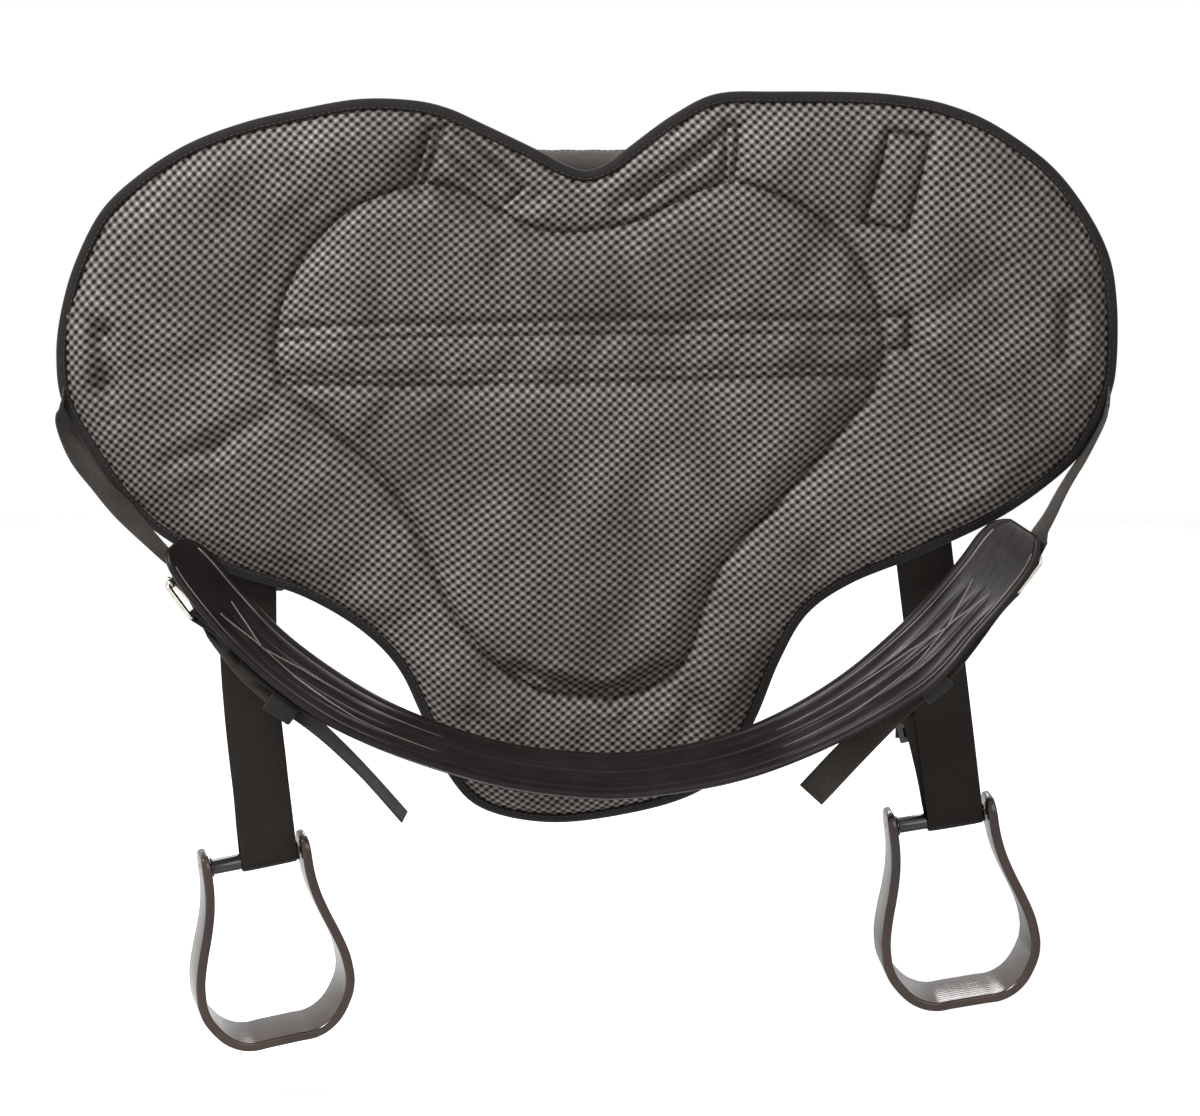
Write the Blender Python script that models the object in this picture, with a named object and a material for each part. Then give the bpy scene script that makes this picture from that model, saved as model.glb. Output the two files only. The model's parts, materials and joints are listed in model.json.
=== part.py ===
"""Bareback pad with its girth and stirrups, hung up by the grab handle at its front.

The horse side of the pad faces -Y and its seat side faces +Y. +X is to the right of someone who
looks at the horse side, and +Z is up. The origin is the underside of the handle's grip, where a
hook carries the pad. Lengths are in metres.
"""

import math

import bmesh
import bpy
import numpy as np
from mathutils import Vector
from mathutils.geometry import delaunay_2d_cdt

# Clearances
gap = 0.0003
cloth_gap = 0.0012
pivot_gap = 0.0005
cut_overrun = 0.004

# Pad: its cut shape and its layers
pad_half_width = 0.4515
pad_length = 0.636
lobe_rise = 0.0715
cover_thickness = 0.0022
seat_cover_thickness = 0.0020
seat_panel_thickness = 0.0016
edge_half_thickness = 0.0036
flap_fill = 0.0085
panel_fill = 0.0150
seat_fill = 0.0095
seat_flap_fill = 0.0062
seam_depth = 0.0085
seam_width = 0.0100
edge_roll = 0.0300
panel_roll = 0.0650
tongue_curl = 0.0160
tongue_curl_length = 0.1200
flap_bend = 0.0140
sheet_step = 0.0430
outline_step = 0.0440
outline_bend = 0.0600
seam_step = 0.0400

# Edge binding
binding_width = 0.0105
binding_thickness = 0.0014

# Sewn band across the middle, and the strap sewn behind it
band_centre_drop = 0.2170
band_height = 0.0500
band_depth = 0.0045
band_end_share = 0.570
cross_strap_width = 0.0500
cross_strap_thickness = 0.0024
cross_strap_share = 0.899225

# Grab handle
grip_radius = 0.0110
grip_half_length = 0.0620
hand_gap = 0.0350
handle_web_width = 0.0150
handle_web_thickness = 0.0026
handle_foot_span = 0.1120
handle_foot_length = 0.0280
handle_tab_width = 0.0260
handle_tab_length = 0.0720
handle_tab_thickness = 0.0022
handle_tab_reach = 0.0900
handle_tab_rise = 0.0120
handle_tab_slope = math.radians(38.0)

# Front dees and the tabs that hold them
dee_wire = 0.0040
dee_width = 0.0330
dee_depth = 0.0250
dee_lean = math.radians(17.0)
dee_tab_width = 0.0240
dee_tab_length = 0.0520
dee_tab_thickness = 0.0016
dee_tab_reach = 0.1330
dee_bar_rise = 0.0370
dee_tab_splay = math.radians(9.0)

# Stirrup straps
strap_width = 0.0500
strap_thickness = 0.0021
strap_anchor_share = 0.564784
left_strap_box_length = 0.0700
right_strap_box_length = 0.0880
strap_hinge_drop = 0.0420
strap_hinge_gap = 0.0034
strap_standoff = 0.0085
left_strap_drop = 0.6050
right_strap_drop = 0.5680
left_strap_share = 0.637000
right_strap_share = 0.728000
left_slide_share = 0.55
right_slide_share = 0.84
left_strap_bow = 0.0260
strap_lead = 0.0600
strap_lead_in = 0.0060
strap_box_splay = 0.0170
strap_tail = 0.0640
left_strap_skew = 0.0010
right_strap_skew = 0.0092
slide_height = 0.0300
slide_bar = 0.0036
slide_margin = 0.0024

# Stirrups
stirrup_wall = 0.0085
stirrup_tread_depth = 0.0560
stirrup_neck_depth = 0.0360
stirrup_half_width = 0.0720
stirrup_drop = 0.1700
stirrup_knob_rise = 0.0160
stirrup_edge = 0.0015
left_stirrup_yaw = math.radians(17.0)
right_stirrup_yaw = math.radians(3.0)
left_stirrup_tilt = math.radians(6.4)
right_stirrup_tilt = math.radians(8.8)
strap_shift = 0.0125
sleeve_radius = 0.0070
sleeve_flare = 0.0020
sleeve_flare_length = 0.0015
bolt_radius = 0.0032
bolt_head_radius = 0.0052
bolt_head_height = 0.0026

# Girth
girth_span = 0.7180
girth_sag = 0.2110
girth_left_reach = 0.3441
girth_low_drop = 0.5080
girth_clear = 0.0230
liner_width = 0.0740
liner_thickness = 0.0090
liner_end_radius = 0.0300
backing_width = 0.0500
backing_thickness = 0.0024
backing_start = 0.0900
keeper_place = 0.1500
keeper_length = 0.0240
keeper_thickness = 0.0016
keeper_lift = 0.0215
keeper_shift = 0.0110

# Billets and roller buckles
billet_width = 0.0260
billet_thickness = 0.0020
billet_axis_drop = 0.1900
billet_tail = 0.1320
billet_lead_in = 0.0090
billet_tail_angle = math.radians(46.0)
left_tail_turn = math.radians(60.0)
right_tail_turn = math.radians(8.0)
buckle_place = 0.0500
buckle_lift = 0.0200
buckle_length = 0.0330
buckle_inner_width = 0.0280
buckle_wire = 0.0036
roller_radius = 0.0035
roller_bore = 0.0022
prong_thickness = 0.0030
prong_overhang = 0.0040
prong_eye = 0.0016
chape_length = 0.0420
chape_drop = 0.0095

# Shares of the pad's half width and length, from the top of the lobes, going round from the notch
outline_shares = (
    (0.000, 0.103), (0.043, 0.092), (0.080, 0.072), (0.160, 0.031), (0.241, 0.003), (0.350, 0.000),
    (0.507, 0.001), (0.591, 0.006), (0.670, 0.017), (0.756, 0.042), (0.858, 0.092), (0.926, 0.148),
    (0.975, 0.211), (0.994, 0.275), (0.998, 0.354), (0.988, 0.402), (0.956, 0.456), (0.911, 0.501),
    (0.795, 0.565), (0.641, 0.620), (0.509, 0.660), (0.424, 0.704), (0.372, 0.770), (0.330, 0.848),
    (0.281, 0.919), (0.216, 0.963), (0.102, 0.993), (-0.064, 1.011), (-0.201, 0.991), (-0.270, 0.940),
    (-0.323, 0.848), (-0.369, 0.778), (-0.444, 0.723), (-0.556, 0.676), (-0.691, 0.644),
    (-0.809, 0.596), (-0.880, 0.548), (-0.946, 0.476), (-0.992, 0.410), (-1.000, 0.350),
    (-0.989, 0.292), (-0.960, 0.226), (-0.907, 0.156), (-0.834, 0.108), (-0.743, 0.068),
    (-0.642, 0.041), (-0.541, 0.024), (-0.428, 0.010), (-0.330, 0.011), (-0.262, 0.021),
    (-0.195, 0.042), (-0.091, 0.077), (-0.043, 0.095),
)
seam_shares = (
    (-0.300, 0.119), (-0.375, 0.130), (-0.460, 0.160), (-0.537, 0.220), (-0.585, 0.300),
    (-0.580, 0.375), (-0.487, 0.448), (-0.375, 0.530), (-0.301, 0.626), (-0.273, 0.682),
    (-0.226, 0.737), (-0.169, 0.783), (-0.072, 0.815), (0.063, 0.815), (0.150, 0.794),
    (0.198, 0.752), (0.226, 0.682), (0.264, 0.626), (0.367, 0.543), (0.498, 0.434),
    (0.548, 0.385), (0.560, 0.313), (0.530, 0.246), (0.472, 0.187), (0.378, 0.141),
    (0.279, 0.117), (0.215, 0.126), (0.160, 0.145), (0.090, 0.168), (0.019, 0.179),
    (-0.034, 0.184), (-0.091, 0.180), (-0.138, 0.166), (-0.186, 0.150), (-0.243, 0.130),
)
# Girth centre line: shares of its span, of its sag above the lowest point, and its turn to the
# front in shares of a right angle
girth_shares = (
    (0.000, 0.932, 0.24), (0.025, 0.801, 0.26), (0.057, 0.650, 0.29), (0.100, 0.500, 0.28),
    (0.160, 0.352, 0.24), (0.224, 0.231, 0.19), (0.292, 0.136, 0.16), (0.374, 0.051, 0.15),
    (0.446, 0.012, 0.16), (0.519, 0.000, 0.17), (0.597, 0.032, 0.17), (0.669, 0.092, 0.20),
    (0.741, 0.196, 0.25), (0.813, 0.338, 0.33), (0.883, 0.520, 0.45), (0.937, 0.715, 0.50),
    (0.975, 0.883, 0.52), (1.000, 1.027, 0.52),
)
# Free part of each billet above its buckle: shares of its drop, of its reach and of its depth, and
# its turn out of the pad's plane in shares of a right angle
left_billet_shares = (
    (0.10, -0.015, 0.00, 0.80), (0.31, 0.110, 0.05, 0.60), (0.49, 0.297, 0.16, 0.56),
    (0.66, 0.500, 0.42, 0.56), (0.85, 0.785, 0.78, 0.64),
)
right_billet_shares = (
    (0.12, 0.075, 0.00, 0.96), (0.33, 0.300, 0.20, 0.93), (0.57, 0.590, 0.50, 0.87),
    (0.80, 0.825, 0.82, 0.74),
)
# Stirrup wall: shares of its half width and of its drop, on the outer face
stirrup_shares = (
    (0.686, -0.060), (0.686, 0.000), (0.694, 0.110), (0.732, 0.220), (0.806, 0.335), (0.900, 0.455),
    (0.970, 0.565), (0.994, 0.660), (0.986, 0.735), (0.926, 0.815), (0.770, 0.915), (0.590, 0.974),
    (0.400, 1.000), (0.200, 1.000), (0.000, 1.000),
)


cross_strap_half_length = cross_strap_share * pad_half_width
strap_anchor_reach = strap_anchor_share * pad_half_width
across = np.array([1.0, 0.0, 0.0])
depthward = np.array([0.0, 1.0, 0.0])
upward = np.array([0.0, 0.0, 1.0])
pad_plane = -(grip_radius + hand_gap + seat_flap_fill)


def clear_scene():
    for item in list(bpy.data.objects):
        bpy.data.objects.remove(item, do_unlink=True)


def material(name, colour, roughness, metallic=0.0):
    made = bpy.data.materials.new(name)
    made.use_nodes = True
    shader = made.node_tree.nodes["Principled BSDF"]
    shader.inputs["Base Color"].default_value = (*colour, 1.0)
    shader.inputs["Roughness"].default_value = roughness
    shader.inputs["Metallic"].default_value = metallic
    made.diffuse_color = (*colour, 1.0)
    return made


def finish_object(name, bm, made, origin=(0.0, 0.0, 0.0), sharp=math.radians(40.0)):
    """Turn a bmesh in world coordinates into a named object whose origin is at the given point."""
    bmesh.ops.recalc_face_normals(bm, faces=bm.faces)
    if bm.calc_volume(signed=True) < 0.0:
        bmesh.ops.reverse_faces(bm, faces=bm.faces)
    bmesh.ops.translate(bm, verts=bm.verts, vec=-Vector(origin))
    mesh = bpy.data.meshes.new(name)
    bm.to_mesh(mesh)
    bm.free()
    mesh.shade_smooth()
    mesh.set_sharp_from_angle(angle=sharp)
    mesh.materials.append(made)
    item = bpy.data.objects.new(name, mesh)
    item.location = origin
    bpy.context.collection.objects.link(item)
    return item


def catmull(points, closed, steps):
    """A smooth curve through the given points, as an array with a fixed number of steps a span."""
    knots = np.asarray(points, float)
    count = len(knots)
    spans = count if closed else count - 1
    out = []
    for i in range(spans):
        before = knots[(i - 1) % count] if closed or i > 0 else 2 * knots[0] - knots[1]
        start = knots[i % count]
        end = knots[(i + 1) % count]
        after = knots[(i + 2) % count] if closed or i + 2 < count else 2 * knots[-1] - knots[-2]
        for k in range(steps):
            t = k / steps
            out.append(0.5 * (2 * start + (end - before) * t
                              + (2 * before - 5 * start + 4 * end - after) * t ** 2
                              + (3 * start - before - 3 * end + after) * t ** 3))
    if not closed:
        out.append(knots[-1])
    return np.array(out)


def respaced(points, step, bend):
    """A closed curve with its points at an even spacing, and closer together where it turns."""
    path = np.vstack([points, points[:1]])
    runs = np.diff(path, axis=0)
    angles = np.arctan2(runs[:, 1], runs[:, 0])
    turns = np.abs((np.diff(angles, append=angles[:1]) + math.pi) % (2 * math.pi) - math.pi)
    turns = (turns + np.roll(turns, 1)) / 2
    lengths = np.concatenate([[0.0], np.cumsum(np.linalg.norm(runs, axis=1) + turns * bend)])
    count = max(8, round(lengths[-1] / step))
    places = np.linspace(0.0, lengths[-1], count + 1)[:-1]
    columns = [np.interp(places, lengths, path[:, k]) for k in range(path.shape[1])]
    return np.stack(columns, axis=1)


def pad_point(share):
    return (share[0] * pad_half_width, lobe_rise - share[1] * pad_length)


fine_outline = catmull([pad_point(share) for share in outline_shares], True, 8)
outline = respaced(fine_outline, outline_step, outline_bend)
seam = respaced(catmull([pad_point(share) for share in seam_shares], True, 6), seam_step, 0.0)


def inset(loop, distance):
    """Move a closed loop of points inwards along its own normals."""
    before = np.roll(loop, 1, axis=0)
    after = np.roll(loop, -1, axis=0)
    along = after - before
    along /= np.linalg.norm(along, axis=1)[:, None]
    normal = np.stack([-along[:, 1], along[:, 0]], axis=1)
    middle = loop.mean(axis=0)
    outward = np.sum(normal * (loop - middle), axis=1).mean() > 0.0
    return loop - normal * distance if outward else loop + normal * distance


def distance_to(points, loop):
    """Least distance from each point to a closed loop of straight runs."""
    start = loop[None, :, :]
    run = np.roll(loop, -1, axis=0)[None, :, :] - start
    offset = points[:, None, :] - start
    share = np.clip((offset * run).sum(2) / (run * run).sum(2), 0.0, 1.0)
    return np.linalg.norm(offset - share[..., None] * run, axis=2).min(axis=1)


def inside(points, loop):
    """Whether each point lies inside a closed loop."""
    x, y = points[:, 0:1], points[:, 1:2]
    ax, ay = loop[None, :, 0], loop[None, :, 1]
    bx, by = np.roll(loop[:, 0], -1)[None, :], np.roll(loop[:, 1], -1)[None, :]
    crosses = (ay > y) != (by > y)
    slope = np.where(by == ay, 1.0, by - ay)
    return (crosses & (x < (bx - ax) * (y - ay) / slope + ax)).sum(1) % 2 == 1


def rise(value, length):
    """A rounded rise from 0 to 1 over a length."""
    return np.sqrt(1.0 - (1.0 - np.clip(value / length, 0.0, 1.0)) ** 2)


def pad_middle(points):
    """Depth of the pad's middle plane: the flaps bend to the horse and the tongue curls away."""
    flap = (np.abs(points[:, 0]) / pad_half_width) ** 2
    low = lobe_rise - pad_length + tongue_curl_length
    curl = np.maximum(low - points[:, 1], 0.0) / tongue_curl_length
    return pad_plane - flap_bend * flap + tongue_curl * curl ** 2


def pad_fill(points, flap, panel, hollow):
    """Half thickness of the padding on one side: full in the panel, drawn in at seams and edges."""
    edge = distance_to(points, outline) - binding_width - binding_thickness - gap * 2
    seam_distance = distance_to(points, seam)
    within = inside(points, seam)
    body = edge_half_thickness + (flap - edge_half_thickness) * rise(edge, edge_roll)
    crown = np.where(within, (panel - flap) * rise(seam_distance, panel_roll), 0.0)
    groove = np.exp(-(seam_distance / seam_width) ** 2) * seam_depth
    return np.maximum(body + crown - groove - hollow, edge_half_thickness)


def horse_face(points):
    """Depth of the pad's outer face on the horse side, with the cross band drawn in."""
    drop = lobe_rise - points[:, 1] - band_centre_drop
    near_band = np.clip(1.5 - np.abs(drop) / (band_height / 2), 0.0, 1.0)
    on_band = near_band * (np.abs(points[:, 0]) < band_end_share * pad_half_width)
    return pad_middle(points) - pad_fill(points, flap_fill, panel_fill, band_depth * on_band)


def seat_face(points):
    """Depth of the pad's outer face on the seat side."""
    return pad_middle(points) + pad_fill(points, seat_flap_fill, seat_fill, 0.0)


def sheet_points():
    """One net of points for all layers, so that they stay parallel and clear of each other."""
    rim = inset(outline, binding_thickness + gap)
    rows = [rim, inset(rim, binding_width), inset(rim, binding_width + edge_roll / 2)]
    seam_rows = [seam, inset(seam, seam_width), inset(seam, -seam_width)]
    band_x = np.arange(-1, 1.01, 0.2) * band_end_share * pad_half_width
    band_rows = []
    for side in (-1, 0, 1):
        z = lobe_rise - band_centre_drop + side * band_height / 2
        band_rows.append(np.stack([band_x, np.full_like(band_x, z)], axis=1))
    fixed = np.vstack(rows + seam_rows + band_rows)
    xs = np.arange(-pad_half_width, pad_half_width, sheet_step)
    zs = np.arange(lobe_rise - pad_length, lobe_rise, sheet_step)
    grid = np.array([(x + (sheet_step / 2 if k % 2 else 0.0), z) for k, z in enumerate(zs) for x in xs])
    grid = grid[inside(grid, rows[2])]
    keep = []
    for point in grid:
        near = np.linalg.norm(fixed - point, axis=1).min()
        if near > sheet_step / 2:
            keep.append(point)
    kept_fixed = []
    inner = inside(fixed, inset(rim, binding_width / 2))
    for k, point in enumerate(fixed):
        if k < len(rim) * 3 or inner[k]:
            kept_fixed.append(point)
    points = np.vstack([np.array(kept_fixed), np.array(keep)])
    count = len(rim)
    edges = [(i, (i + 1) % count) for i in range(count)]
    seam_start = 3 * count
    edges += [(seam_start + i, seam_start + (i + 1) % len(seam)) for i in range(len(seam))]
    result = delaunay_2d_cdt([Vector(p) for p in points], edges, [], 1, 1e-6)
    flat = np.array([(v.x, v.y) for v in result[0]])
    faces = [tuple(face) for face in result[2]]
    return flat, faces


def sheet_solid(name, flat, faces, front, back, made):
    """A closed sheet between two depths, over a net of points."""
    bm = bmesh.new()
    used = sorted({index for face in faces for index in face})
    near = {i: bm.verts.new((flat[i][0], front[i], flat[i][1])) for i in used}
    far = {i: bm.verts.new((flat[i][0], back[i], flat[i][1])) for i in used}
    edge_uses = {}
    for face in faces:
        bm.faces.new([near[i] for i in face])
        bm.faces.new([far[i] for i in reversed(face)])
        for k in range(len(face)):
            pair = (face[k], face[(k + 1) % len(face)])
            key = tuple(sorted(pair))
            edge_uses[key] = None if key in edge_uses else pair
    for pair in edge_uses.values():
        if pair is not None:
            a, b = pair
            bm.faces.new([near[b], near[a], far[a], far[b]])
    return finish_object(name, bm, made)


def loft(name, stations, made, closed=False, origin=(0.0, 0.0, 0.0)):
    """Skin a row of rings of points, each an array of the same length, and cap its ends."""
    bm = bmesh.new()
    rings = [[bm.verts.new(tuple(p)) for p in ring] for ring in stations]
    count = len(rings[0])
    pairs = list(zip(rings, rings[1:])) + ([(rings[-1], rings[0])] if closed else [])
    for one, two in pairs:
        for k in range(count):
            bm.faces.new([one[k], one[(k + 1) % count], two[(k + 1) % count], two[k]])
    if not closed:
        bm.faces.new(rings[0][::-1])
        bm.faces.new(rings[-1])
    return finish_object(name, bm, made, origin)


def ring(centre, wide, thick, section):
    return [centre + u * wide + v * thick for u, v in section]


def band_section(width, thickness):
    """A webbing's cross-section: a flat band with its corners taken off."""
    w, t = width / 2, thickness / 2
    soft = thickness / 3
    return [(-w, -t + soft), (-w + soft, -t), (w - soft, -t), (w, -t + soft),
            (w, t - soft), (w - soft, t), (-w + soft, t), (-w, t - soft)]


def unit(vector):
    return np.asarray(vector, float) / np.linalg.norm(vector)


def ribbon(name, stations, width, thickness, made, origin=(0.0, 0.0, 0.0)):
    """A band of webbing along a row of stations: each is a centre and a direction for its width."""
    centres = np.array([station[0] for station in stations])
    steps = np.diff(centres, axis=0)
    steps /= np.linalg.norm(steps, axis=1)[:, None]
    runs = np.vstack([steps[:1], steps[:-1] + steps[1:], steps[-1:]])
    section = band_section(width, thickness)
    rings = []
    for (centre, hint), run in zip(stations, runs):
        run = unit(run)
        wide = unit(hint - run * (hint @ run))
        rings.append(ring(centre, wide, np.cross(run, wide), section))
    return loft(name, rings, made, origin=origin)


def eased(share):
    """A soft start and end between 0 and 1."""
    share = min(1.0, max(0.0, share))
    return share * share * (3.0 - 2.0 * share)


def extruded(name, profile, frame, width, made, origin=(0.0, 0.0, 0.0)):
    """Push a closed profile, drawn in the first and third axes of a frame, along its second axis."""
    place, along, wide, out = frame
    rings = []
    for side in (-width / 2, width / 2):
        rings.append([place + along * a + out * b + wide * side for a, b in profile])
    return loft(name, rings, made, origin=origin)


def thick_path(points, thickness):
    """The outline of a bent strip, drawn from its centre line."""
    path = np.asarray(points, float)
    along = np.gradient(path, axis=0)
    along /= np.linalg.norm(along, axis=1)[:, None]
    normal = np.stack([-along[:, 1], along[:, 0]], axis=1) * thickness / 2
    return [tuple(p) for p in path + normal] + [tuple(p) for p in (path - normal)[::-1]]


def arc(centre, radius, start, end, steps):
    angles = np.linspace(start, end, steps + 1)
    return [(centre[0] + radius * math.cos(a), centre[1] + radius * math.sin(a)) for a in angles]


def tube(name, stations, radius, made, closed=False, sides=8, origin=(0.0, 0.0, 0.0)):
    """A round wire: each station is a centre and two directions square to the wire."""
    section = [(math.cos(2 * math.pi * k / sides) * radius, math.sin(2 * math.pi * k / sides) * radius)
               for k in range(sides)]
    rings = [ring(centre, one, two, section) for centre, one, two in stations]
    return loft(name, rings, made, closed=closed, origin=origin)


def wire_loop(corners, frame, corner_radius, steps):
    """Stations round a closed wire frame with rounded corners, drawn in a frame's first two axes."""
    place, along, wide, out = frame
    stations = []
    count = len(corners)
    for k in range(count):
        here = np.array(corners[k], float)
        before = unit(np.array(corners[k - 1]) - here)
        after = unit(np.array(corners[(k + 1) % count]) - here)
        half = math.acos(float(np.clip(before @ after, -1.0, 1.0))) / 2
        centre = here + unit(before + after) * corner_radius / math.sin(half)
        start = here + before * corner_radius / math.tan(half) - centre
        end = here + after * corner_radius / math.tan(half) - centre
        for step in range(steps + 1):
            share = step / steps
            spoke = unit(start * (1 - share) + end * share)
            point = centre + spoke * corner_radius
            stations.append((place + along * point[0] + wide * point[1],
                             along * spoke[0] + wide * spoke[1], out))
    return stations


def cut(item, name, low, high, frame):
    """Take a box out of a piece, with the box drawn in a frame's own axes."""
    place, along, wide, out = frame
    bm = bmesh.new()
    corners = []
    for c in (low[2], high[2]):
        for a, b in ((low[0], low[1]), (high[0], low[1]), (high[0], high[1]), (low[0], high[1])):
            corners.append(bm.verts.new(tuple(place + along * a + wide * b + out * c)))
    for face in ((3, 2, 1, 0), (4, 5, 6, 7), (0, 1, 5, 4), (1, 2, 6, 5), (2, 3, 7, 6), (3, 0, 4, 7)):
        bm.faces.new([corners[i] for i in face])
    cutter = finish_object(name, bm, item.data.materials[0])
    cutter.hide_render = True
    cutter.display_type = "WIRE"
    modifier = item.modifiers.new(name, "BOOLEAN")
    modifier.object = cutter
    modifier.operation = "DIFFERENCE"
    modifier.solver = "EXACT"


def seat_height(x, drop_low, drop_high, half_width):
    """The furthest that the seat side stands out under a strap's width."""
    xs = x + np.linspace(-half_width, half_width, 7)
    zs = np.linspace(drop_low, drop_high, 7)
    points = np.array([(a, b) for a in xs for b in zs])
    keep = inside(points, fine_outline)
    if not keep.any():
        return float(seat_face(np.array([(x, (drop_low + drop_high) / 2)]))[0])
    return float(seat_face(points[keep]).max())


def build_pad(finishes):
    """The sewn layers: woven cover, felt and foam core, seat cover, suede panel and binding."""
    flat, faces = sheet_points()
    horse = horse_face(flat)
    seat = seat_face(flat)
    inner_horse = horse + cover_thickness
    inner_seat = seat - seat_cover_thickness
    sheet_solid("underside_cover", flat, faces, horse, inner_horse, finishes["woven"])
    sheet_solid("foam_core", flat, faces, inner_horse + gap, inner_seat - gap, finishes["felt"])
    sheet_solid("seat_cover", flat, faces, inner_seat, seat, finishes["nylon"])
    centres = np.array([flat[list(face)].mean(axis=0) for face in faces])
    within = inside(centres, seam)
    panel_faces = [face for face, keep in zip(faces, within) if keep]
    panel_back = seat + gap + seat_panel_thickness
    sheet_solid("seat_panel", flat, panel_faces, seat + gap, panel_back, finishes["suede"])
    rings = []
    hollow = edge_half_thickness + gap
    outer = hollow + binding_thickness
    soft = binding_thickness * 2
    lip = binding_thickness
    section = [(-binding_width, -outer), (-soft, -outer), (0.0, -outer + soft), (0.0, outer - soft),
               (-soft, outer), (-binding_width, outer), (-binding_width, hollow), (-lip, hollow),
               (-lip, -hollow), (-binding_width, -hollow)]
    inward = inset(outline, binding_width)
    middle = pad_middle(outline)
    inner_middle = pad_middle(inward)
    for k in range(len(outline)):
        out = unit(np.array([outline[k][0] - inward[k][0], middle[k] - inner_middle[k],
                             outline[k][1] - inward[k][1]]))
        centre = np.array([outline[k][0], middle[k], outline[k][1]])
        rings.append(ring(centre, out, np.array([0.0, 1.0, 0.0]), section))
    loft("edge_binding", rings, finishes["binding"], closed=True)


def build_cross_strap(finishes):
    """The strap sewn across under the rider, and the billets' sewn ends beyond it."""
    z = lobe_rise - band_centre_drop
    lift = gap + seat_panel_thickness + cloth_gap + cross_strap_thickness / 2
    stations = []
    for x in np.linspace(-cross_strap_half_length, cross_strap_half_length, 29):
        depth = seat_height(x, z - cross_strap_width / 2, z + cross_strap_width / 2, seam_width)
        stations.append((np.array([x, depth + lift, z]), upward))
    ribbon("cross_strap", stations, cross_strap_width, cross_strap_thickness, finishes["web"])
    for side, word in ((-1, "left"), (1, "right")):
        z = billet_width / 2 - billet_axis_drop
        stations = []
        for x in np.linspace(cross_strap_half_length + cloth_gap, billet_reach(side), 6):
            depth = seat_height(side * x, z - billet_width / 2, z + billet_width / 2, seam_width)
            rest = depth + cloth_gap + binding_thickness + billet_thickness / 2
            stations.append((np.array([side * x, rest, z]), upward))
        ribbon("billet_anchor_" + word, stations, billet_width, billet_thickness, finishes["billet"])


def billet_reach(side):
    """How far out the pad's edge comes where a billet leaves it."""
    low, high = -billet_axis_drop - billet_width / 2, -billet_axis_drop + billet_width
    near = (outline[:, 1] > low - outline_step) & (outline[:, 1] < high + outline_step)
    near &= outline[:, 0] * side > 0.0
    order = outline[near][np.argsort(outline[near][:, 1])]
    places = np.linspace(low, high, 9)
    return np.abs(np.interp(places, order[:, 1], order[:, 0])).max() + gap


def build_handle(finishes):
    """The grab handle: two sewn tabs, the web between them and the padded grip round the web."""
    tab_lift = cloth_gap + handle_tab_thickness / 2
    highest = []
    for side, word in ((-1, "left"), (1, "right")):
        along = np.array([side * math.cos(handle_tab_slope), math.sin(handle_tab_slope)])
        wide = np.array([-side * math.sin(handle_tab_slope), 0.0, math.cos(handle_tab_slope)])
        spots = [np.array([side * handle_tab_reach, handle_tab_rise]) + along * share * handle_tab_length
                 for share in np.linspace(-0.5, 0.5, 5)]
        depth = max(seat_height(x, z - handle_tab_width / 2, z + handle_tab_width / 2,
                                handle_tab_width / 2) for x, z in spots)
        highest.append(depth + tab_lift + handle_tab_thickness / 2)
        stations = [(np.array([x, depth + tab_lift, z]), wide) for x, z in spots]
        ribbon("handle_tab_" + word, stations, handle_tab_width, handle_tab_thickness, finishes["web"])
    foot = handle_foot_span
    floor = max(highest) + cloth_gap * 3 + handle_web_thickness / 2
    rest = foot - handle_foot_length
    sag = -grip_radius / 4
    half_route = [(grip_half_length / 2, 0.0), (grip_half_length, sag), (rest, floor),
                  ((rest + foot) / 2, floor), (foot, floor)]
    route = [(-x, y) for x, y in half_route[::-1]] + half_route
    path = catmull(route, False, 5)
    stations = [(np.array([x, y, grip_radius]), upward) for x, y in path]
    ribbon("handle_web", stations, handle_web_width, handle_web_thickness, finishes["web"])
    build_grip(path, finishes)


def build_grip(path, finishes):
    """A padded sleeve with a flat slot through it for the web."""
    sides = 16
    outer = [(math.cos(2 * math.pi * k / sides) * grip_radius,
              math.sin(2 * math.pi * k / sides) * grip_radius) for k in range(sides)]
    half_web = handle_web_width / 2 + cloth_gap
    half_thick = handle_web_thickness / 2 + cloth_gap
    inner = []
    for x, y in outer:
        scale = min(half_web / max(abs(x), gap), half_thick / max(abs(y), gap))
        inner.append((x * scale, y * scale))
    bm = bmesh.new()
    walls = []
    for spot, run in zip(path, np.gradient(path, axis=0)):
        if abs(spot[0]) > grip_half_length * 0.999:
            continue
        out = unit(np.array([-run[1], run[0], 0.0]))
        centre = np.array([spot[0], spot[1], grip_radius])
        walls.append(([bm.verts.new(tuple(centre + upward * a + out * b)) for a, b in outer],
                      [bm.verts.new(tuple(centre + upward * a + out * b)) for a, b in inner]))
    for (outer_one, inner_one), (outer_two, inner_two) in zip(walls, walls[1:]):
        for k in range(sides):
            n = (k + 1) % sides
            bm.faces.new([outer_one[k], outer_one[n], outer_two[n], outer_two[k]])
            bm.faces.new([inner_one[n], inner_one[k], inner_two[k], inner_two[n]])
    for outer_ring, inner_ring in (walls[0], walls[-1]):
        for k in range(sides):
            n = (k + 1) % sides
            bm.faces.new([outer_ring[k], inner_ring[k], inner_ring[n], outer_ring[n]])
    finish_object("handle_grip", bm, finishes["grip"])


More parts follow.
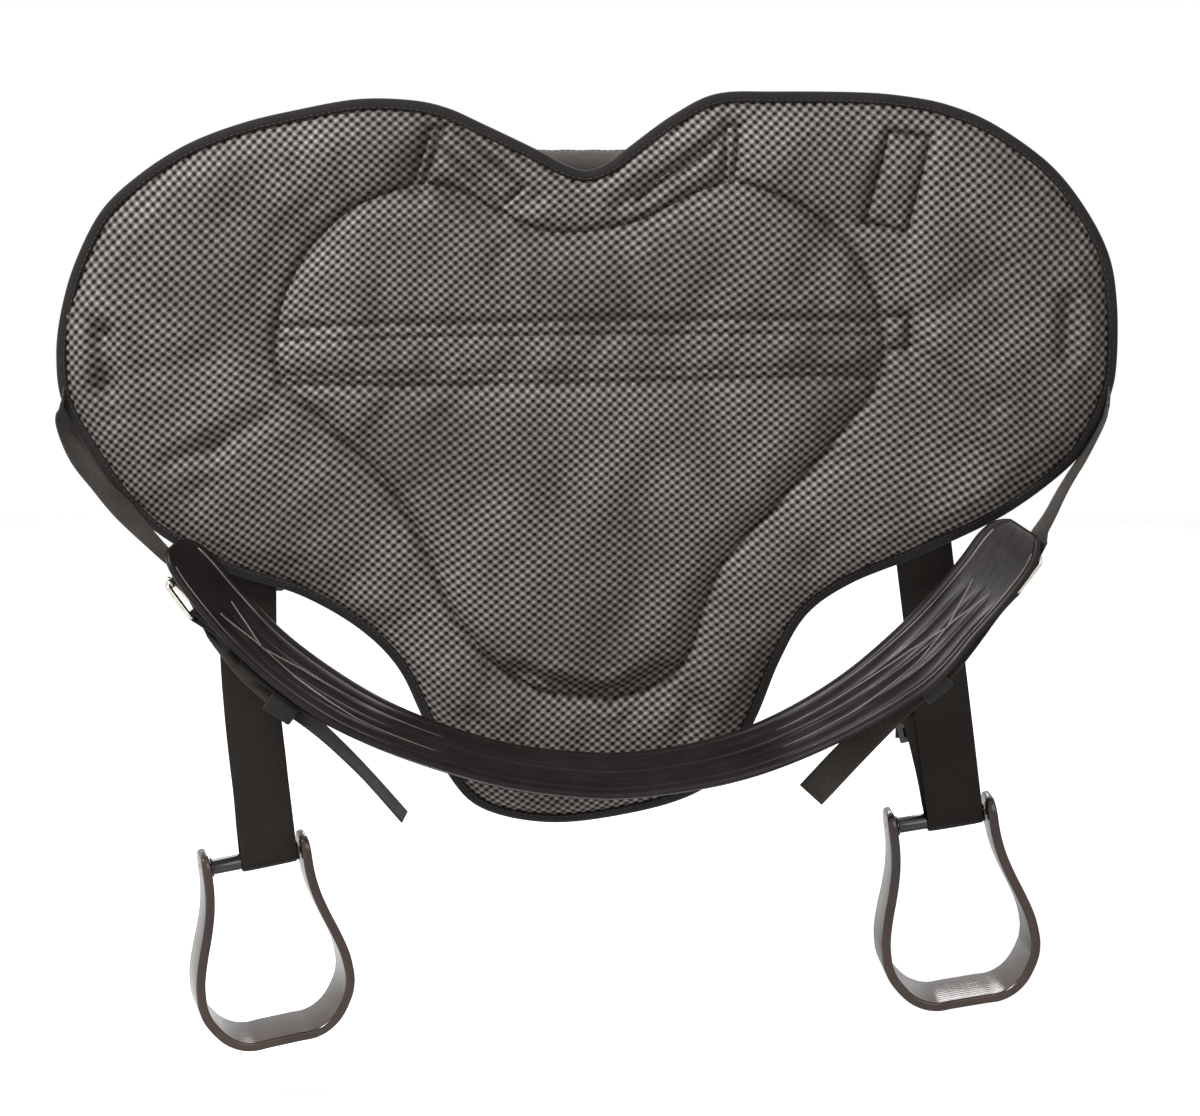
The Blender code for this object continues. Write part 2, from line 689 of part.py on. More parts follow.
def build_dee(side, word, finishes):
    """A dee in the fold of its tab: it hangs over the tab and turns up on its straight bar."""
    x = side * dee_tab_reach
    down = unit(np.array([side * math.sin(dee_tab_splay), 0.0, -math.cos(dee_tab_splay)]))
    wide = unit(np.array([math.cos(dee_tab_splay), 0.0, side * math.sin(dee_tab_splay)]))
    back = depthward
    floor = max(seat_height(x + down[0] * s, dee_bar_rise + down[2] * s - dee_tab_width / 2,
                            dee_bar_rise + down[2] * s + dee_tab_width / 2, dee_tab_width)
                for s in np.linspace(0.0, dee_tab_length, 5))
    floor = floor + cloth_gap + handle_tab_thickness + cloth_gap
    fold = dee_wire / 2 + pivot_gap + dee_tab_thickness / 2
    axis = np.array([x, floor + dee_tab_thickness / 2 + fold, dee_bar_rise])
    turn = arc((0.0, 0.0), fold, -math.pi / 2, -3 * math.pi / 2, 8)
    legs = dee_tab_length
    step = dee_tab_thickness + gap
    route = [(legs, -fold), (legs / 2, -fold)] + turn + [(fold * 4.0, -fold + step), (legs / 2, -fold + step),
                                                         (legs, -fold + step)]
    frame = (axis, down, wide, back)
    extruded("dee_tab_" + word, thick_path(route, dee_tab_thickness), frame, dee_tab_width,
             finishes["web"])
    lean = unit(down * math.cos(dee_lean) + back * math.sin(dee_lean))
    face = unit(np.cross(wide, lean))
    half = dee_width / 2
    bow = [(0.0, -half), (0.0, half), (dee_depth * 0.55, half), (dee_depth, half * 0.45),
           (dee_depth, -half * 0.45), (dee_depth * 0.55, -half)]
    stations = wire_loop(bow, (axis, lean, wide, face), dee_wire * 0.75, 2)
    tube("dee_ring_" + word, stations, dee_wire / 2, finishes["steel"], closed=True, origin=tuple(axis))


def build_stirrup_side(side, word, finishes):
    """The strap sewn to the seat side, its slide, and the stirrup on its bolt and sleeve."""
    left = side < 0
    drop, reach_share = (left_strap_drop, left_strap_share) if left else (right_strap_drop, right_strap_share)
    reach = reach_share * pad_half_width
    box_length = left_strap_box_length if left else right_strap_box_length
    yaw = left_stirrup_yaw if left else right_stirrup_yaw
    tilt = left_stirrup_tilt if left else right_stirrup_tilt
    slide_share = left_slide_share if left else right_slide_share
    skew = left_strap_skew if left else right_strap_skew
    bow = left_strap_bow if left else 0.0
    top = np.array([side * strap_anchor_reach, 0.0, -strap_hinge_drop])
    low = np.array([side * reach, 0.0, -drop])

    def spot(share):
        """Strap centre in X and Z at a share of its length, the left one bowed outwards."""
        return top + (low - top) * share - across * bow * math.sin(math.pi * share)

    stations = []
    for share in (0.0, 0.06, 0.24, 0.43, 0.62, 0.81, 1.0):
        z = -strap_hinge_drop + strap_hinge_gap + share * box_length
        x = side * (strap_anchor_reach + max(0.0, share - 0.06) * strap_box_splay)
        depth = seat_height(x, z - seam_width, z + seam_width, strap_width / 2)
        stations.append((np.array([x, depth + cloth_gap + strap_thickness / 2, z]), across))
    ribbon("stirrup_anchor_" + word, stations, strap_width, strap_thickness, finishes["strap"])
    hinge = top + depthward * stations[0][0][1]

    bar = np.array([math.cos(yaw) * math.cos(tilt), math.sin(yaw) * math.cos(tilt), math.sin(tilt)])
    back = np.array([-math.sin(yaw), math.cos(yaw), 0.0])
    down = -unit(np.cross(bar, back))
    covered = [p for p in (spot(s) for s in np.linspace(0.0, 1.0, 14))
               if inside(np.array([(p[0], p[2])]), fine_outline)[0]]
    highest = max(seat_height(p[0], p[2] - seam_width, p[2] + seam_width, strap_width / 2)
                  for p in covered)
    front = max(highest, hinge[1]) + strap_standoff
    wrap = sleeve_radius + pivot_gap + strap_thickness / 2
    bar_centre = low + depthward * (front + wrap)
    shift = bar_centre - back * wrap - low - depthward * front

    def front_run(share):
        """Centre and width direction of the strap's front layer."""
        settle = eased(share * 3.0 - 2.0)
        lead = eased(share * (drop - strap_hinge_drop) / strap_lead)
        y = hinge[1] + (front - hinge[1]) * lead
        return spot(share) + depthward * y + shift * settle, across * (1.0 - settle) + bar * settle

    stations = [(hinge - upward * gap, across), (hinge - upward * strap_lead_in, across)]
    for share in np.concatenate([[0.03, 0.06, 0.09, 0.12], np.linspace(0.2, 1.0, 11)]):
        stations.append(front_run(share))
    for step in range(1, 9):
        angle = math.pi * step / 8
        spoke = down * math.sin(angle) - back * math.cos(angle)
        stations.append((bar_centre + spoke * wrap, bar))
    near = strap_thickness + cloth_gap
    steps = 9 if left else 5
    for k in range(1, steps + 1):
        centre, wide = front_run(1.0 - (1.0 - slide_share) * k / steps)
        merge = eased(k / 3.0)
        offset = back * (2.0 * wrap) * (1.0 - merge) + depthward * near * merge
        stations.append((centre + offset - across * skew * k / steps, wide))
    climb = unit(stations[-1][0] - stations[-2][0])
    climb = unit(np.array([climb[0], 0.0, climb[2]]))
    wide = unit(across - climb * (across @ climb))
    turn_radius = slide_bar * 0.75 + pivot_gap + strap_thickness / 2
    hub = stations[-1][0] + depthward * turn_radius + climb * slide_height / 4
    for step in range(0, 9):
        angle = math.pi * step / 8
        spoke = climb * math.sin(angle) - depthward * math.cos(angle)
        stations.append((hub + spoke * turn_radius, wide))
    for share in (0.25, 0.5, 0.75, 1.0):
        away = depthward * (turn_radius + cloth_gap * share)
        stations.append((hub + away - climb * strap_tail * share, wide))
    ribbon("stirrup_strap_" + word, stations, strap_width, strap_thickness, finishes["strap"],
           origin=tuple(hinge))
    build_slide(word, hub, wide, climb, finishes)
    build_stirrup(word, bar_centre - bar * strap_shift, bar, back, down, finishes)


def build_slide(word, hub, wide, climb, finishes):
    """A three-bar slide: the strap's end turns round its middle bar and hangs down outside."""
    half_bar = slide_bar / 2
    half = strap_width / 2 + slide_margin
    edge = half + slide_bar
    tall = slide_height / 2
    sill = tall - slide_bar
    loops = {
        "outer": [(-edge, -tall), (edge, -tall), (edge, tall), (-edge, tall)],
        "upper": [(-half, half_bar), (half, half_bar), (half, sill), (-half, sill)],
        "lower": [(-half, -sill), (half, -sill), (half, -half_bar), (-half, -half_bar)],
    }
    bm = bmesh.new()
    layers = []
    for depth in (-half_bar, half_bar):
        layer = {}
        for name, loop in loops.items():
            layer[name] = [bm.verts.new(tuple(hub + wide * a + climb * b + depthward * depth))
                           for a, b in loop]
        layers.append(layer)
    for layer in layers:
        o, u, w = layer["outer"], layer["upper"], layer["lower"]
        bm.faces.new([o[3], o[2], u[2], u[3]])
        bm.faces.new([u[0], u[1], w[2], w[3]])
        bm.faces.new([w[0], w[1], o[1], o[0]])
        bm.faces.new([o[0], w[0], w[3], u[0], u[3], o[3]])
        bm.faces.new([o[1], w[1], w[2], u[1], u[2], o[2]])
    for name in loops:
        one, two = layers[0][name], layers[1][name]
        for k in range(4):
            n = (k + 1) % 4
            bm.faces.new([one[k], one[n], two[n], two[k]])
    finish_object("strap_slide_" + word, bm, finishes["plastic"])


def build_stirrup(word, centre, bar, back, down, finishes):
    """A bell-shaped moulded stirrup, open at the neck, with a bolt through both knobs."""
    half = [(x * stirrup_half_width, z * stirrup_drop) for x, z in stirrup_shares]
    half[0] = (half[0][0], -stirrup_knob_rise)
    right = catmull(half, False, 2)
    left = right[::-1][1:].copy()
    left[:, 0] *= -1
    path = np.vstack([right, left])
    along = np.gradient(path, axis=0)
    along /= np.linalg.norm(along, axis=1)[:, None]
    rings = []
    for (x, z), run in zip(path, along):
        share = np.clip(z / stirrup_drop, 0.0, 1.0)
        blend = share * share * (3 - 2 * share)
        depth = stirrup_neck_depth + (stirrup_tread_depth - stirrup_neck_depth) * blend
        dome = math.sqrt(1 - (1 - np.clip((z + stirrup_knob_rise) / stirrup_knob_rise, 0.0, 1.0)) ** 2)
        depth = depth * (0.5 + 0.5 * dome)
        inward = (-run[1], run[0])
        d, e, w = depth / 2, stirrup_edge, stirrup_wall
        low = stirrup_wall * 0.25 * (1 - dome)
        section = [(low, -d + e), (e + low, -d), (w - e - low, -d), (w - low, -d + e),
                   (w - low, d - e), (w - e - low, d), (e + low, d), (low, d - e)]
        rings.append([centre + bar * (x + inward[0] * u) + down * (z + inward[1] * u) + back * v
                      for u, v in section])
    loft("stirrup_" + word, rings, finishes["plastic"], origin=tuple(centre))
    inner = stirrup_shares[1][0] * stirrup_half_width - stirrup_wall
    outer = stirrup_shares[1][0] * stirrup_half_width
    stirrup = bpy.data.objects["stirrup_" + word]
    hole = turned("bolt_hole_" + word, bolt_profile(outer, cut_overrun, gap), centre, bar, back, down,
                  finishes["plastic"])
    hole.hide_render = True
    hole.display_type = "WIRE"
    modifier = stirrup.modifiers.new("bolt_hole", "BOOLEAN")
    modifier.object = hole
    modifier.operation = "DIFFERENCE"
    modifier.solver = "EXACT"
    turned("stirrup_bolt_" + word, bolt_profile(outer, 0.0, 0.0), centre, bar, back, down,
           finishes["bolt"])
    reach = inner - cloth_gap
    flare = sleeve_radius + sleeve_flare
    bore = bolt_radius + gap
    sleeve = [(-reach, flare), (-reach + sleeve_flare_length, sleeve_radius),
              (reach - sleeve_flare_length, sleeve_radius), (reach, flare), (reach, bore), (-reach, bore)]
    turned("bar_sleeve_" + word, sleeve, centre, bar, back, down, finishes["plastic"], hollow=True)


def bolt_profile(outer, overrun, clear):
    """A bolt with a sunk head at each end, or with some clearance the bore that it sits in."""
    shoulder = outer - bolt_head_height - clear
    head, shank = bolt_head_radius + clear, bolt_radius + clear
    half = [(shoulder, shank), (shoulder, head), (outer + overrun, head)]
    return [(-place, radius) for place, radius in half[::-1]] + half


def turned(name, profile, centre, axis, one, two, made, hollow=False, sides=12):
    """A turned piece: a profile of places along an axis and radii. A hollow one has a closed profile."""
    bm = bmesh.new()
    loops = []
    for place, radius in profile:
        loop = []
        for k in range(sides):
            angle = 2 * math.pi * k / sides
            spoke = one * math.cos(angle) + two * math.sin(angle)
            loop.append(bm.verts.new(tuple(centre + axis * place + spoke * radius)))
        loops.append(loop)
    pairs = list(zip(loops, loops[1:])) + ([(loops[-1], loops[0])] if hollow else [])
    for a, b in pairs:
        for k in range(sides):
            n = (k + 1) % sides
            bm.faces.new([a[k], a[n], b[n], b[k]])
    if not hollow:
        bm.faces.new(loops[0][::-1])
        bm.faces.new(loops[-1])
    return finish_object(name, bm, made, tuple(centre))


def girth_curve():
    """The girth's centre line in X and Z with its turn to the front, at an even fine spacing."""
    knots = []
    for x, sag, turn in girth_shares:
        knots.append((-girth_left_reach + x * girth_span, -girth_low_drop + sag * girth_sag,
                      turn * girth_span))
    fine = catmull(knots, False, 12)
    lengths = np.concatenate([[0.0], np.cumsum(np.linalg.norm(np.diff(fine[:, :2], axis=0), axis=1))])
    return fine, lengths


girth_line, girth_lengths = girth_curve()
girth_length = girth_lengths[-1]


def girth_frame(place):
    """Centre, run, width and outward directions of the girth at a length from its left end."""
    def at(s):
        return np.array([np.interp(s, girth_lengths, girth_line[:, k]) for k in range(3)])
    here = at(place)
    reach = girth_length / 100
    run = at(min(place + reach, girth_length)) - at(max(place - reach, 0.0))
    run = unit(np.array([run[0], 0.0, run[1]]))
    inward = np.array([-run[2], 0.0, run[0]])
    turn = here[2] / girth_span * math.pi / 2
    wide = depthward * math.cos(turn) + inward * math.sin(turn)
    out = depthward * math.sin(turn) - inward * math.cos(turn)
    y = pad_plane - girth_clear - liner_width / 2 * math.cos(turn)
    return np.array([here[0], y, here[1]]), run, wide, out


def build_girth(finishes):
    """The padded girth: soft liner to the horse, webbing behind it and a keeper at each end."""
    rings = []
    end = liner_end_radius
    even = list(np.linspace(end, girth_length - end, 35))
    tip = [gap, end * 0.06, end * 0.22, end * 0.5]
    places = tip + even + [girth_length - p for p in tip[::-1]]
    for place in places:
        centre, run, wide, out = girth_frame(place)
        near = min(place, girth_length - place, end)
        half = liner_width / 2 - end + math.sqrt(max(0.0, end ** 2 - (end - near) ** 2))
        t = liner_thickness / 2
        lip = t * 0.9
        seat = min(backing_width / 2, half * 0.7)
        section = [(-half, -t * 0.5), (-half + lip * 0.5, -t), (-half + lip * 2, -t * 0.8), (0.0, -t * 0.62),
                   (half - lip * 2, -t * 0.8), (half - lip * 0.5, -t), (half, -t * 0.5), (half, t * 0.5),
                   (half - lip * 0.5, t), (seat, t), (-seat, t), (-half + lip * 0.5, t), (-half, t * 0.5)]
        rings.append(ring(centre, wide, out, section))
    loft("girth_liner", rings, finishes["liner"])
    rings = []
    lift = liner_thickness / 2 + cloth_gap * 1.6 + backing_thickness / 2
    for place in even:
        if backing_start < place < girth_length - backing_start:
            centre, run, wide, out = girth_frame(place)
            rings.append(ring(centre + out * lift, wide, out,
                              band_section(backing_width, backing_thickness)))
    loft("girth_backing", rings, finishes["web"])


def girth_end_frame(side, place):
    """The girth's frame at a length from either end, with its run pointing to the girth's middle."""
    if side < 0:
        return girth_frame(place)
    centre, run, wide, out = girth_frame(girth_length - place)
    return centre, -run, wide, out


def billet_route(side, frame):
    """The billet's stations from the pad's edge, through the buckle and keeper, to its tip."""
    place, along, wide, out = frame
    edge = np.array([[side * pad_half_width, -billet_axis_drop]])
    start = np.array([side * (billet_reach(side) + cloth_gap + billet_thickness / 2),
                      float(pad_middle(edge)[0]), -billet_axis_drop - gap])
    under = place - along * buckle_length - out * (roller_radius + pivot_gap + billet_thickness / 2 + gap)
    free = under - start
    stations = [(start, depthward)]
    for drop_share, reach_share, depth_share, turn in (left_billet_shares if side < 0
                                                       else right_billet_shares):
        slant = unit(np.array([side * free[2], 0.0, -side * free[0]]))
        turn_angle = turn * math.pi / 2
        point = start + free * np.array([reach_share, depth_share, drop_share])
        stations.append((point, depthward * math.sin(turn_angle) + slant * math.cos(turn_angle)))
    stations.append((under - along * billet_lead_in, wide))
    stations.append((under, wide))
    over = buckle_wire / 2 + pivot_gap + backing_thickness + cloth_gap + billet_thickness / 2
    stations.append((place - along * buckle_length / 2 + out * roller_radius * 0.35, wide))
    stations.append((place + out * over, wide))
    for share, lift_share, shift_share in ((0.25, 1.10, 0.1), (0.6, 1.06, 0.6)):
        spot = buckle_place + (keeper_place - buckle_place) * share
        centre, run, hint, normal = girth_end_frame(side, spot)
        stations.append((centre + normal * keeper_lift * lift_share - hint * keeper_shift * shift_share,
                         hint))
    centre, run, hint, normal = girth_end_frame(side, keeper_place)
    at_keeper = centre + normal * keeper_lift - hint * keeper_shift
    stations.append((at_keeper - run * keeper_length / 2, hint))
    stations.append((at_keeper + run * keeper_length / 2, hint))
    fall = np.array([-side * math.cos(billet_tail_angle), 0.0, -math.sin(billet_tail_angle)])
    flat = np.array([fall[2], 0.0, -fall[0]])
    spread = left_tail_turn if side < 0 else right_tail_turn
    final = depthward * math.sin(spread) + flat * math.cos(spread) * side
    if final @ hint < 0.0:
        final = -final
    start_tail = at_keeper + run * keeper_length / 2
    for share in (0.25, 0.6, 1.0):
        turned_down = math.sqrt(share)
        hang = run * (1.0 - turned_down) + fall * turned_down
        stations.append((start_tail + unit(hang) * billet_tail * share, hint * (1.0 - share) + final * share))
    return stations, (at_keeper, run, hint, normal)


def build_billet(side, word, finishes):
    """One end of the girth: buckle frame, roller, prong, chape, keeper and the billet through them."""
    centre, along, wide, out = girth_end_frame(side, buckle_place)
    place = centre + out * buckle_lift
    frame = (place, along, wide, out)
    half = buckle_inner_width / 2 + buckle_wire / 2
    corners = [(0.0, -half), (0.0, half), (-buckle_length, half), (-buckle_length, -half)]
    tube("buckle_frame_" + word, wire_loop(corners, frame, buckle_wire * 0.8, 3), buckle_wire / 2,
         finishes["nickel"], closed=True, origin=tuple(place))
    roller_centre = place - along * buckle_length
    reach = buckle_inner_width / 2 - pivot_gap * 2
    tube_profile = [(-reach, roller_radius), (reach, roller_radius), (reach, roller_bore),
                    (-reach, roller_bore)]
    turned("buckle_roller_" + word, tube_profile, roller_centre, wide, out, along, finishes["nickel"],
           hollow=True)
    bore = buckle_wire / 2 + pivot_gap
    eye = bore + prong_eye
    slope = math.asin((roller_radius + prong_thickness / 2 + gap) / buckle_length)
    tip = buckle_length / math.cos(slope) + prong_overhang
    hook_end = math.pi - slope - math.radians(35.0)
    hook_start = math.pi - slope + math.radians(50.0) - 2 * math.pi
    outside = arc((0.0, 0.0), eye, hook_start, hook_end, 10)
    inside_arc = arc((0.0, 0.0), bore, hook_end + math.radians(5.0), hook_start, 10)
    shaft_dir = np.array([-math.cos(slope), math.sin(slope)])
    shaft_up = np.array([math.sin(slope), math.cos(slope)])
    upper = shaft_up * (prong_thickness / 2)
    shaft = [tuple(shaft_dir * (eye + gap) + upper), tuple(shaft_dir * tip + upper),
             tuple(shaft_dir * (tip + prong_thickness * 0.4)), tuple(shaft_dir * tip - upper * 0.6),
             tuple(shaft_dir * (bore + prong_eye * 0.4) - upper)]
    extruded("buckle_prong_" + word, outside + shaft + inside_arc, frame, prong_thickness,
             finishes["nickel"], origin=tuple(place))
    fold = buckle_wire / 2 + pivot_gap + backing_thickness / 2
    turn = arc((0.0, 0.0), fold, -math.pi / 2, -3 * math.pi / 2, 8)
    low = -chape_drop + backing_thickness / 2 + gap
    route = ([(chape_length, low - backing_thickness - gap), (chape_length * 0.55, low - backing_thickness - gap)]
             + turn + [(chape_length * 0.55, low), (chape_length, low)])
    chape = extruded("chape_" + word, thick_path(route, backing_thickness), frame, billet_width,
                     finishes["web"])
    slot = prong_thickness / 2 + pivot_gap * 2
    cut(chape, "chape_slot_" + word, (-eye * 2, -slot, -eye * 2), (eye + cloth_gap, slot, eye * 2), frame)
    stations, keeper_frame = billet_route(side, frame)
    points = catmull([np.concatenate([p, q]) for p, q in stations], False, 3)
    billet = ribbon("billet_" + word, [(row[:3], row[3:]) for row in points], billet_width,
                    billet_thickness, finishes["billet"])
    cut(billet, "billet_hole_" + word, (-buckle_length * 0.78, -slot, -eye * 2),
        (-eye * 0.8, slot, eye * 2.4), frame)
    build_keeper(word, keeper_frame, finishes)


def build_keeper(word, frame, finishes):
    """A loop of webbing sewn to the girth's back, with the billet's tail hanging in its far end."""
    place, along, wide, out = frame
    half = billet_width / 2 + cloth_gap
    top = billet_thickness / 2 + cloth_gap
    foot = keeper_lift - liner_thickness / 2 - backing_thickness - cloth_gap * 3
    k = keeper_thickness
    outer = [(-half - k, -foot), (half + k, -foot), (half + k, top + k), (-half - k, top + k)]
    inner = [(-half, -foot + k), (half, -foot + k), (half, top), (-half, top)]
    bm = bmesh.new()
    rows = []
    for end in (-keeper_length / 2, keeper_length / 2):
        rows.append([[bm.verts.new(tuple(place + along * end + wide * a + out * b)) for a, b in loop]
                     for loop in (outer, inner)])
    (outer_one, inner_one), (outer_two, inner_two) = rows
    for i in range(4):
        n = (i + 1) % 4
        bm.faces.new([outer_one[i], outer_one[n], outer_two[n], outer_two[i]])
        bm.faces.new([inner_one[n], inner_one[i], inner_two[i], inner_two[n]])
        bm.faces.new([outer_one[n], outer_one[i], inner_one[i], inner_one[n]])
        bm.faces.new([outer_two[i], outer_two[n], inner_two[n], inner_two[i]])
    finish_object("keeper_" + word, bm, finishes["web"])


def main():
    clear_scene()
    finishes = {
        "woven": material("woven vinyl mesh", (0.105, 0.094, 0.084), 0.62),
        "felt": material("felt and foam", (0.30, 0.29, 0.27), 0.95),
        "nylon": material("nylon seat cover", (0.018, 0.017, 0.017), 0.75),
        "suede": material("suede seat panel", (0.045, 0.038, 0.034), 0.90),
        "binding": material("edge tape", (0.035, 0.029, 0.031), 0.70),
        "web": material("black webbing", (0.020, 0.018, 0.017), 0.70),
        "strap": material("stirrup webbing", (0.022, 0.018, 0.016), 0.75),
        "billet": material("billet webbing", (0.075, 0.068, 0.063), 0.65),
        "grip": material("grip cover", (0.110, 0.100, 0.095), 0.70),
        "liner": material("neoprene liner", (0.026, 0.025, 0.026), 0.45),
        "plastic": material("moulded plastic", (0.070, 0.055, 0.048), 0.30),
        "bolt": material("bolt steel", (0.30, 0.28, 0.26), 0.35, 1.0),
        "steel": material("dee steel", (0.60, 0.60, 0.62), 0.22, 1.0),
        "nickel": material("nickel plate", (0.72, 0.70, 0.66), 0.15, 1.0),
    }
    build_pad(finishes)
    build_cross_strap(finishes)
    build_handle(finishes)
    for side, word in ((-1, "left"), (1, "right")):
        build_dee(side, word, finishes)
        build_stirrup_side(side, word, finishes)
        build_billet(side, word, finishes)
    build_girth(finishes)


main()
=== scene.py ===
# %% [markdown]
# # A bareback pad, dressed for its picture
# A bareback pad is two big soft flaps, sewn from layers and bound with tape, with a girth that goes
# under the horse and two stirrups on webbing straps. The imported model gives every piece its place
# and its motion. This lesson gives each piece its cloth, webbing, plastic or metal. It starts by
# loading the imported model, which stays as it is.

# %% Load the frame
import json
import math

import bmesh
import bpy
import numpy as np
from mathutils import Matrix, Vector
from mathutils.bvhtree import BVHTree


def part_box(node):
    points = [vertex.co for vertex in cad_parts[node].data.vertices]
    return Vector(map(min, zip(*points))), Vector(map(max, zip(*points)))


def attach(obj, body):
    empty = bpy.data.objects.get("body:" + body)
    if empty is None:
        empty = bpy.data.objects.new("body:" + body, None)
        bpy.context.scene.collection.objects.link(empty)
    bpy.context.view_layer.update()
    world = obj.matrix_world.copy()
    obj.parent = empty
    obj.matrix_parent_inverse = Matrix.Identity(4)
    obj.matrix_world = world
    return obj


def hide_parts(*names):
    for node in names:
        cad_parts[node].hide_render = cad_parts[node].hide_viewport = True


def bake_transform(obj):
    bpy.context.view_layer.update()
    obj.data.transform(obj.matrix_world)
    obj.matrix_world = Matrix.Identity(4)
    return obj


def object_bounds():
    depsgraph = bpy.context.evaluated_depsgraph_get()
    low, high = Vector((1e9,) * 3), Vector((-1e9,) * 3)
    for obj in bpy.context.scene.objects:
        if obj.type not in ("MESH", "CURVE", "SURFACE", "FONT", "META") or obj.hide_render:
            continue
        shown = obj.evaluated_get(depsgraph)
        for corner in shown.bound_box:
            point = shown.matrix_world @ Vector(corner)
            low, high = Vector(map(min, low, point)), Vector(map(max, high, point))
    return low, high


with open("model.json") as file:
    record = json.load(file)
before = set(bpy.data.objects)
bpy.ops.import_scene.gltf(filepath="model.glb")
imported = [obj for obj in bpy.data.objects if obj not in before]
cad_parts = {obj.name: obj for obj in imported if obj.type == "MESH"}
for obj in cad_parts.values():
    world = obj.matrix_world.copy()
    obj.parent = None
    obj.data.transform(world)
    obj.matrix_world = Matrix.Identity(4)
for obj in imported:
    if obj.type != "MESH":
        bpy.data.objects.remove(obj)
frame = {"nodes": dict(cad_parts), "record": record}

cad_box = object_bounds()
joints = frame["record"]["behaviour"]["joints"]
joint_place = {joint["name"]: Vector(joint["pos_m"]) for joint in joints}
joint_axis = {joint["name"]: Vector(joint["axis"]) for joint in joints}
print("CAD box", cad_box)

# %% [markdown]
# ## Camera
# The photograph was taken from about 2.2 m, looking down by 11 degrees at the horse side. A long
# lens keeps the flaps from bulging. The focal length is given in pixels of the photograph, because
# that is how it was measured, and the sensor width turns it into millimetres.

# %% Set the camera
photo_width = 1200
focal_pixels = 2529
camera_place = (0.011, -2.2146, 0.0928)
looking_down = math.radians(11.0)

lens = bpy.data.cameras.new("photo_camera")
lens.sensor_width = 36.0
lens.lens = lens.sensor_width * focal_pixels / photo_width
lens.clip_start = 0.05
camera = bpy.data.objects.new("photo_camera", lens)
camera.location = camera_place
camera.rotation_euler = (math.pi / 2 - looking_down, 0.0, 0.0)
bpy.context.collection.objects.link(camera)
bpy.context.scene.camera = camera
bpy.context.scene.view_settings.view_transform = "Standard"
print("lens", round(lens.lens, 1), "mm")

# %% [markdown]
# ## Small tools for finishes
# Colours are written as sRGB hex codes, as a paint chart gives them, and one function turns them to
# the linear values that a shader wants. One more function adds a node with its settings and links,
# so that each finish below reads as a list of its layers.

# %% Colour and node helpers
millimetre = 0.001


def linear(code, alpha=1.0):
    """An sRGB hex colour as linear values."""
    parts = [int(code[k:k + 2], 16) / 255 for k in (1, 3, 5)]
    return (*[c / 12.92 if c <= 0.04045 else ((c + 0.055) / 1.055) ** 2.4 for c in parts], alpha)


def add(tree, kind, inputs=None, **settings):
    """Add a node. Inputs are named or numbered sockets, each given a value or another node's output."""
    node = tree.nodes.new(kind)
    for key, value in settings.items():
        setattr(node, key, value)
    for key, value in (inputs or {}).items():
        if isinstance(value, bpy.types.NodeSocket):
            tree.links.new(value, node.inputs[key])
        else:
            node.inputs[key].default_value = value
    return node


def new_finish(name, roughness, metallic=0.0, **sockets):
    """A material with its shader, and plain values on the shader's own sockets."""
    made = bpy.data.materials.new(name)
    made.use_nodes = True
    shader = made.node_tree.nodes["Principled BSDF"]
    shader.inputs["Roughness"].default_value = roughness
    shader.inputs["Metallic"].default_value = metallic
    for key, value in sockets.items():
        shader.inputs[key.replace("_", " ")].default_value = value
    return made, made.node_tree, shader


def ramp(tree, factor, stops):
    """A colour ramp from (place, hex) pairs."""
    node = add(tree, "ShaderNodeValToRGB", {"Fac": factor})
    bar = node.color_ramp
    while len(bar.elements) < len(stops):
        bar.elements.new(0.5)
    for element, (place, code) in zip(bar.elements, stops):
        element.position = place
        element.color = linear(code)
    return node.outputs["Color"]


def maths(tree, operation, one, two=0.0, three=0.0):
    """One sum on up to three values."""
    return add(tree, "ShaderNodeMath", {0: one, 1: two, 2: three}, operation=operation).outputs[0]


def ripples(tree, place, pitch):
    """A sine that comes round once in each pitch."""
    return maths(tree, "SINE", maths(tree, "MULTIPLY", place, 2 * math.pi / pitch))


def mixed(tree, factor, one, two, blend="MIX"):
    """Mix two colours."""
    node = add(tree, "ShaderNodeMix", data_type="RGBA", blend_type=blend)
    for key, value in (("Factor", factor), (6, one), (7, two)):
        if isinstance(value, bpy.types.NodeSocket):
            tree.links.new(value, node.inputs[key])
        else:
            node.inputs[key].default_value = value
    return node.outputs[2]


def shaded(tree, colour, factor, stops):
    """A colour darkened by a ramp of greys."""
    return mixed(tree, 1.0, colour, ramp(tree, factor, stops), "MULTIPLY")


print("colour helpers ready, a mid grey is", [round(c, 3) for c in linear("#808080")])


# %% Coordinates, noise and bump
def solid_place(tree):
    """Coordinates fixed in the object."""
    return add(tree, "ShaderNodeTexCoord").outputs["Object"]


def run_place(tree, layer="run"):
    """Coordinates across and along a piece."""
    return add(tree, "ShaderNodeUVMap", uv_map=layer).outputs["UV"]


def split(tree, place):
    """The parts of a place, one socket for each axis."""
    return add(tree, "ShaderNodeSeparateXYZ", {0: place}).outputs


def drawn_out(tree, place, share):
    """Coordinates squeezed along the run, so that marks come out long."""
    return add(tree, "ShaderNodeMapping", {"Vector": place, "Scale": (1.0, share, 1.0)}).outputs[0]


def linked(tree, shader, **sockets):
    """Link values to the shader's sockets."""
    for key, value in sockets.items():
        tree.links.new(value, shader.inputs[key.replace("_", " ")])


def clouds(tree, where, size, detail=3.0, roughness=0.5):
    """Soft noise with blobs of about a size in metres."""
    node = add(tree, "ShaderNodeTexNoise",
               {"Vector": where, "Scale": 1.0 / size, "Detail": detail, "Roughness": roughness})
    return node.outputs["Fac"]


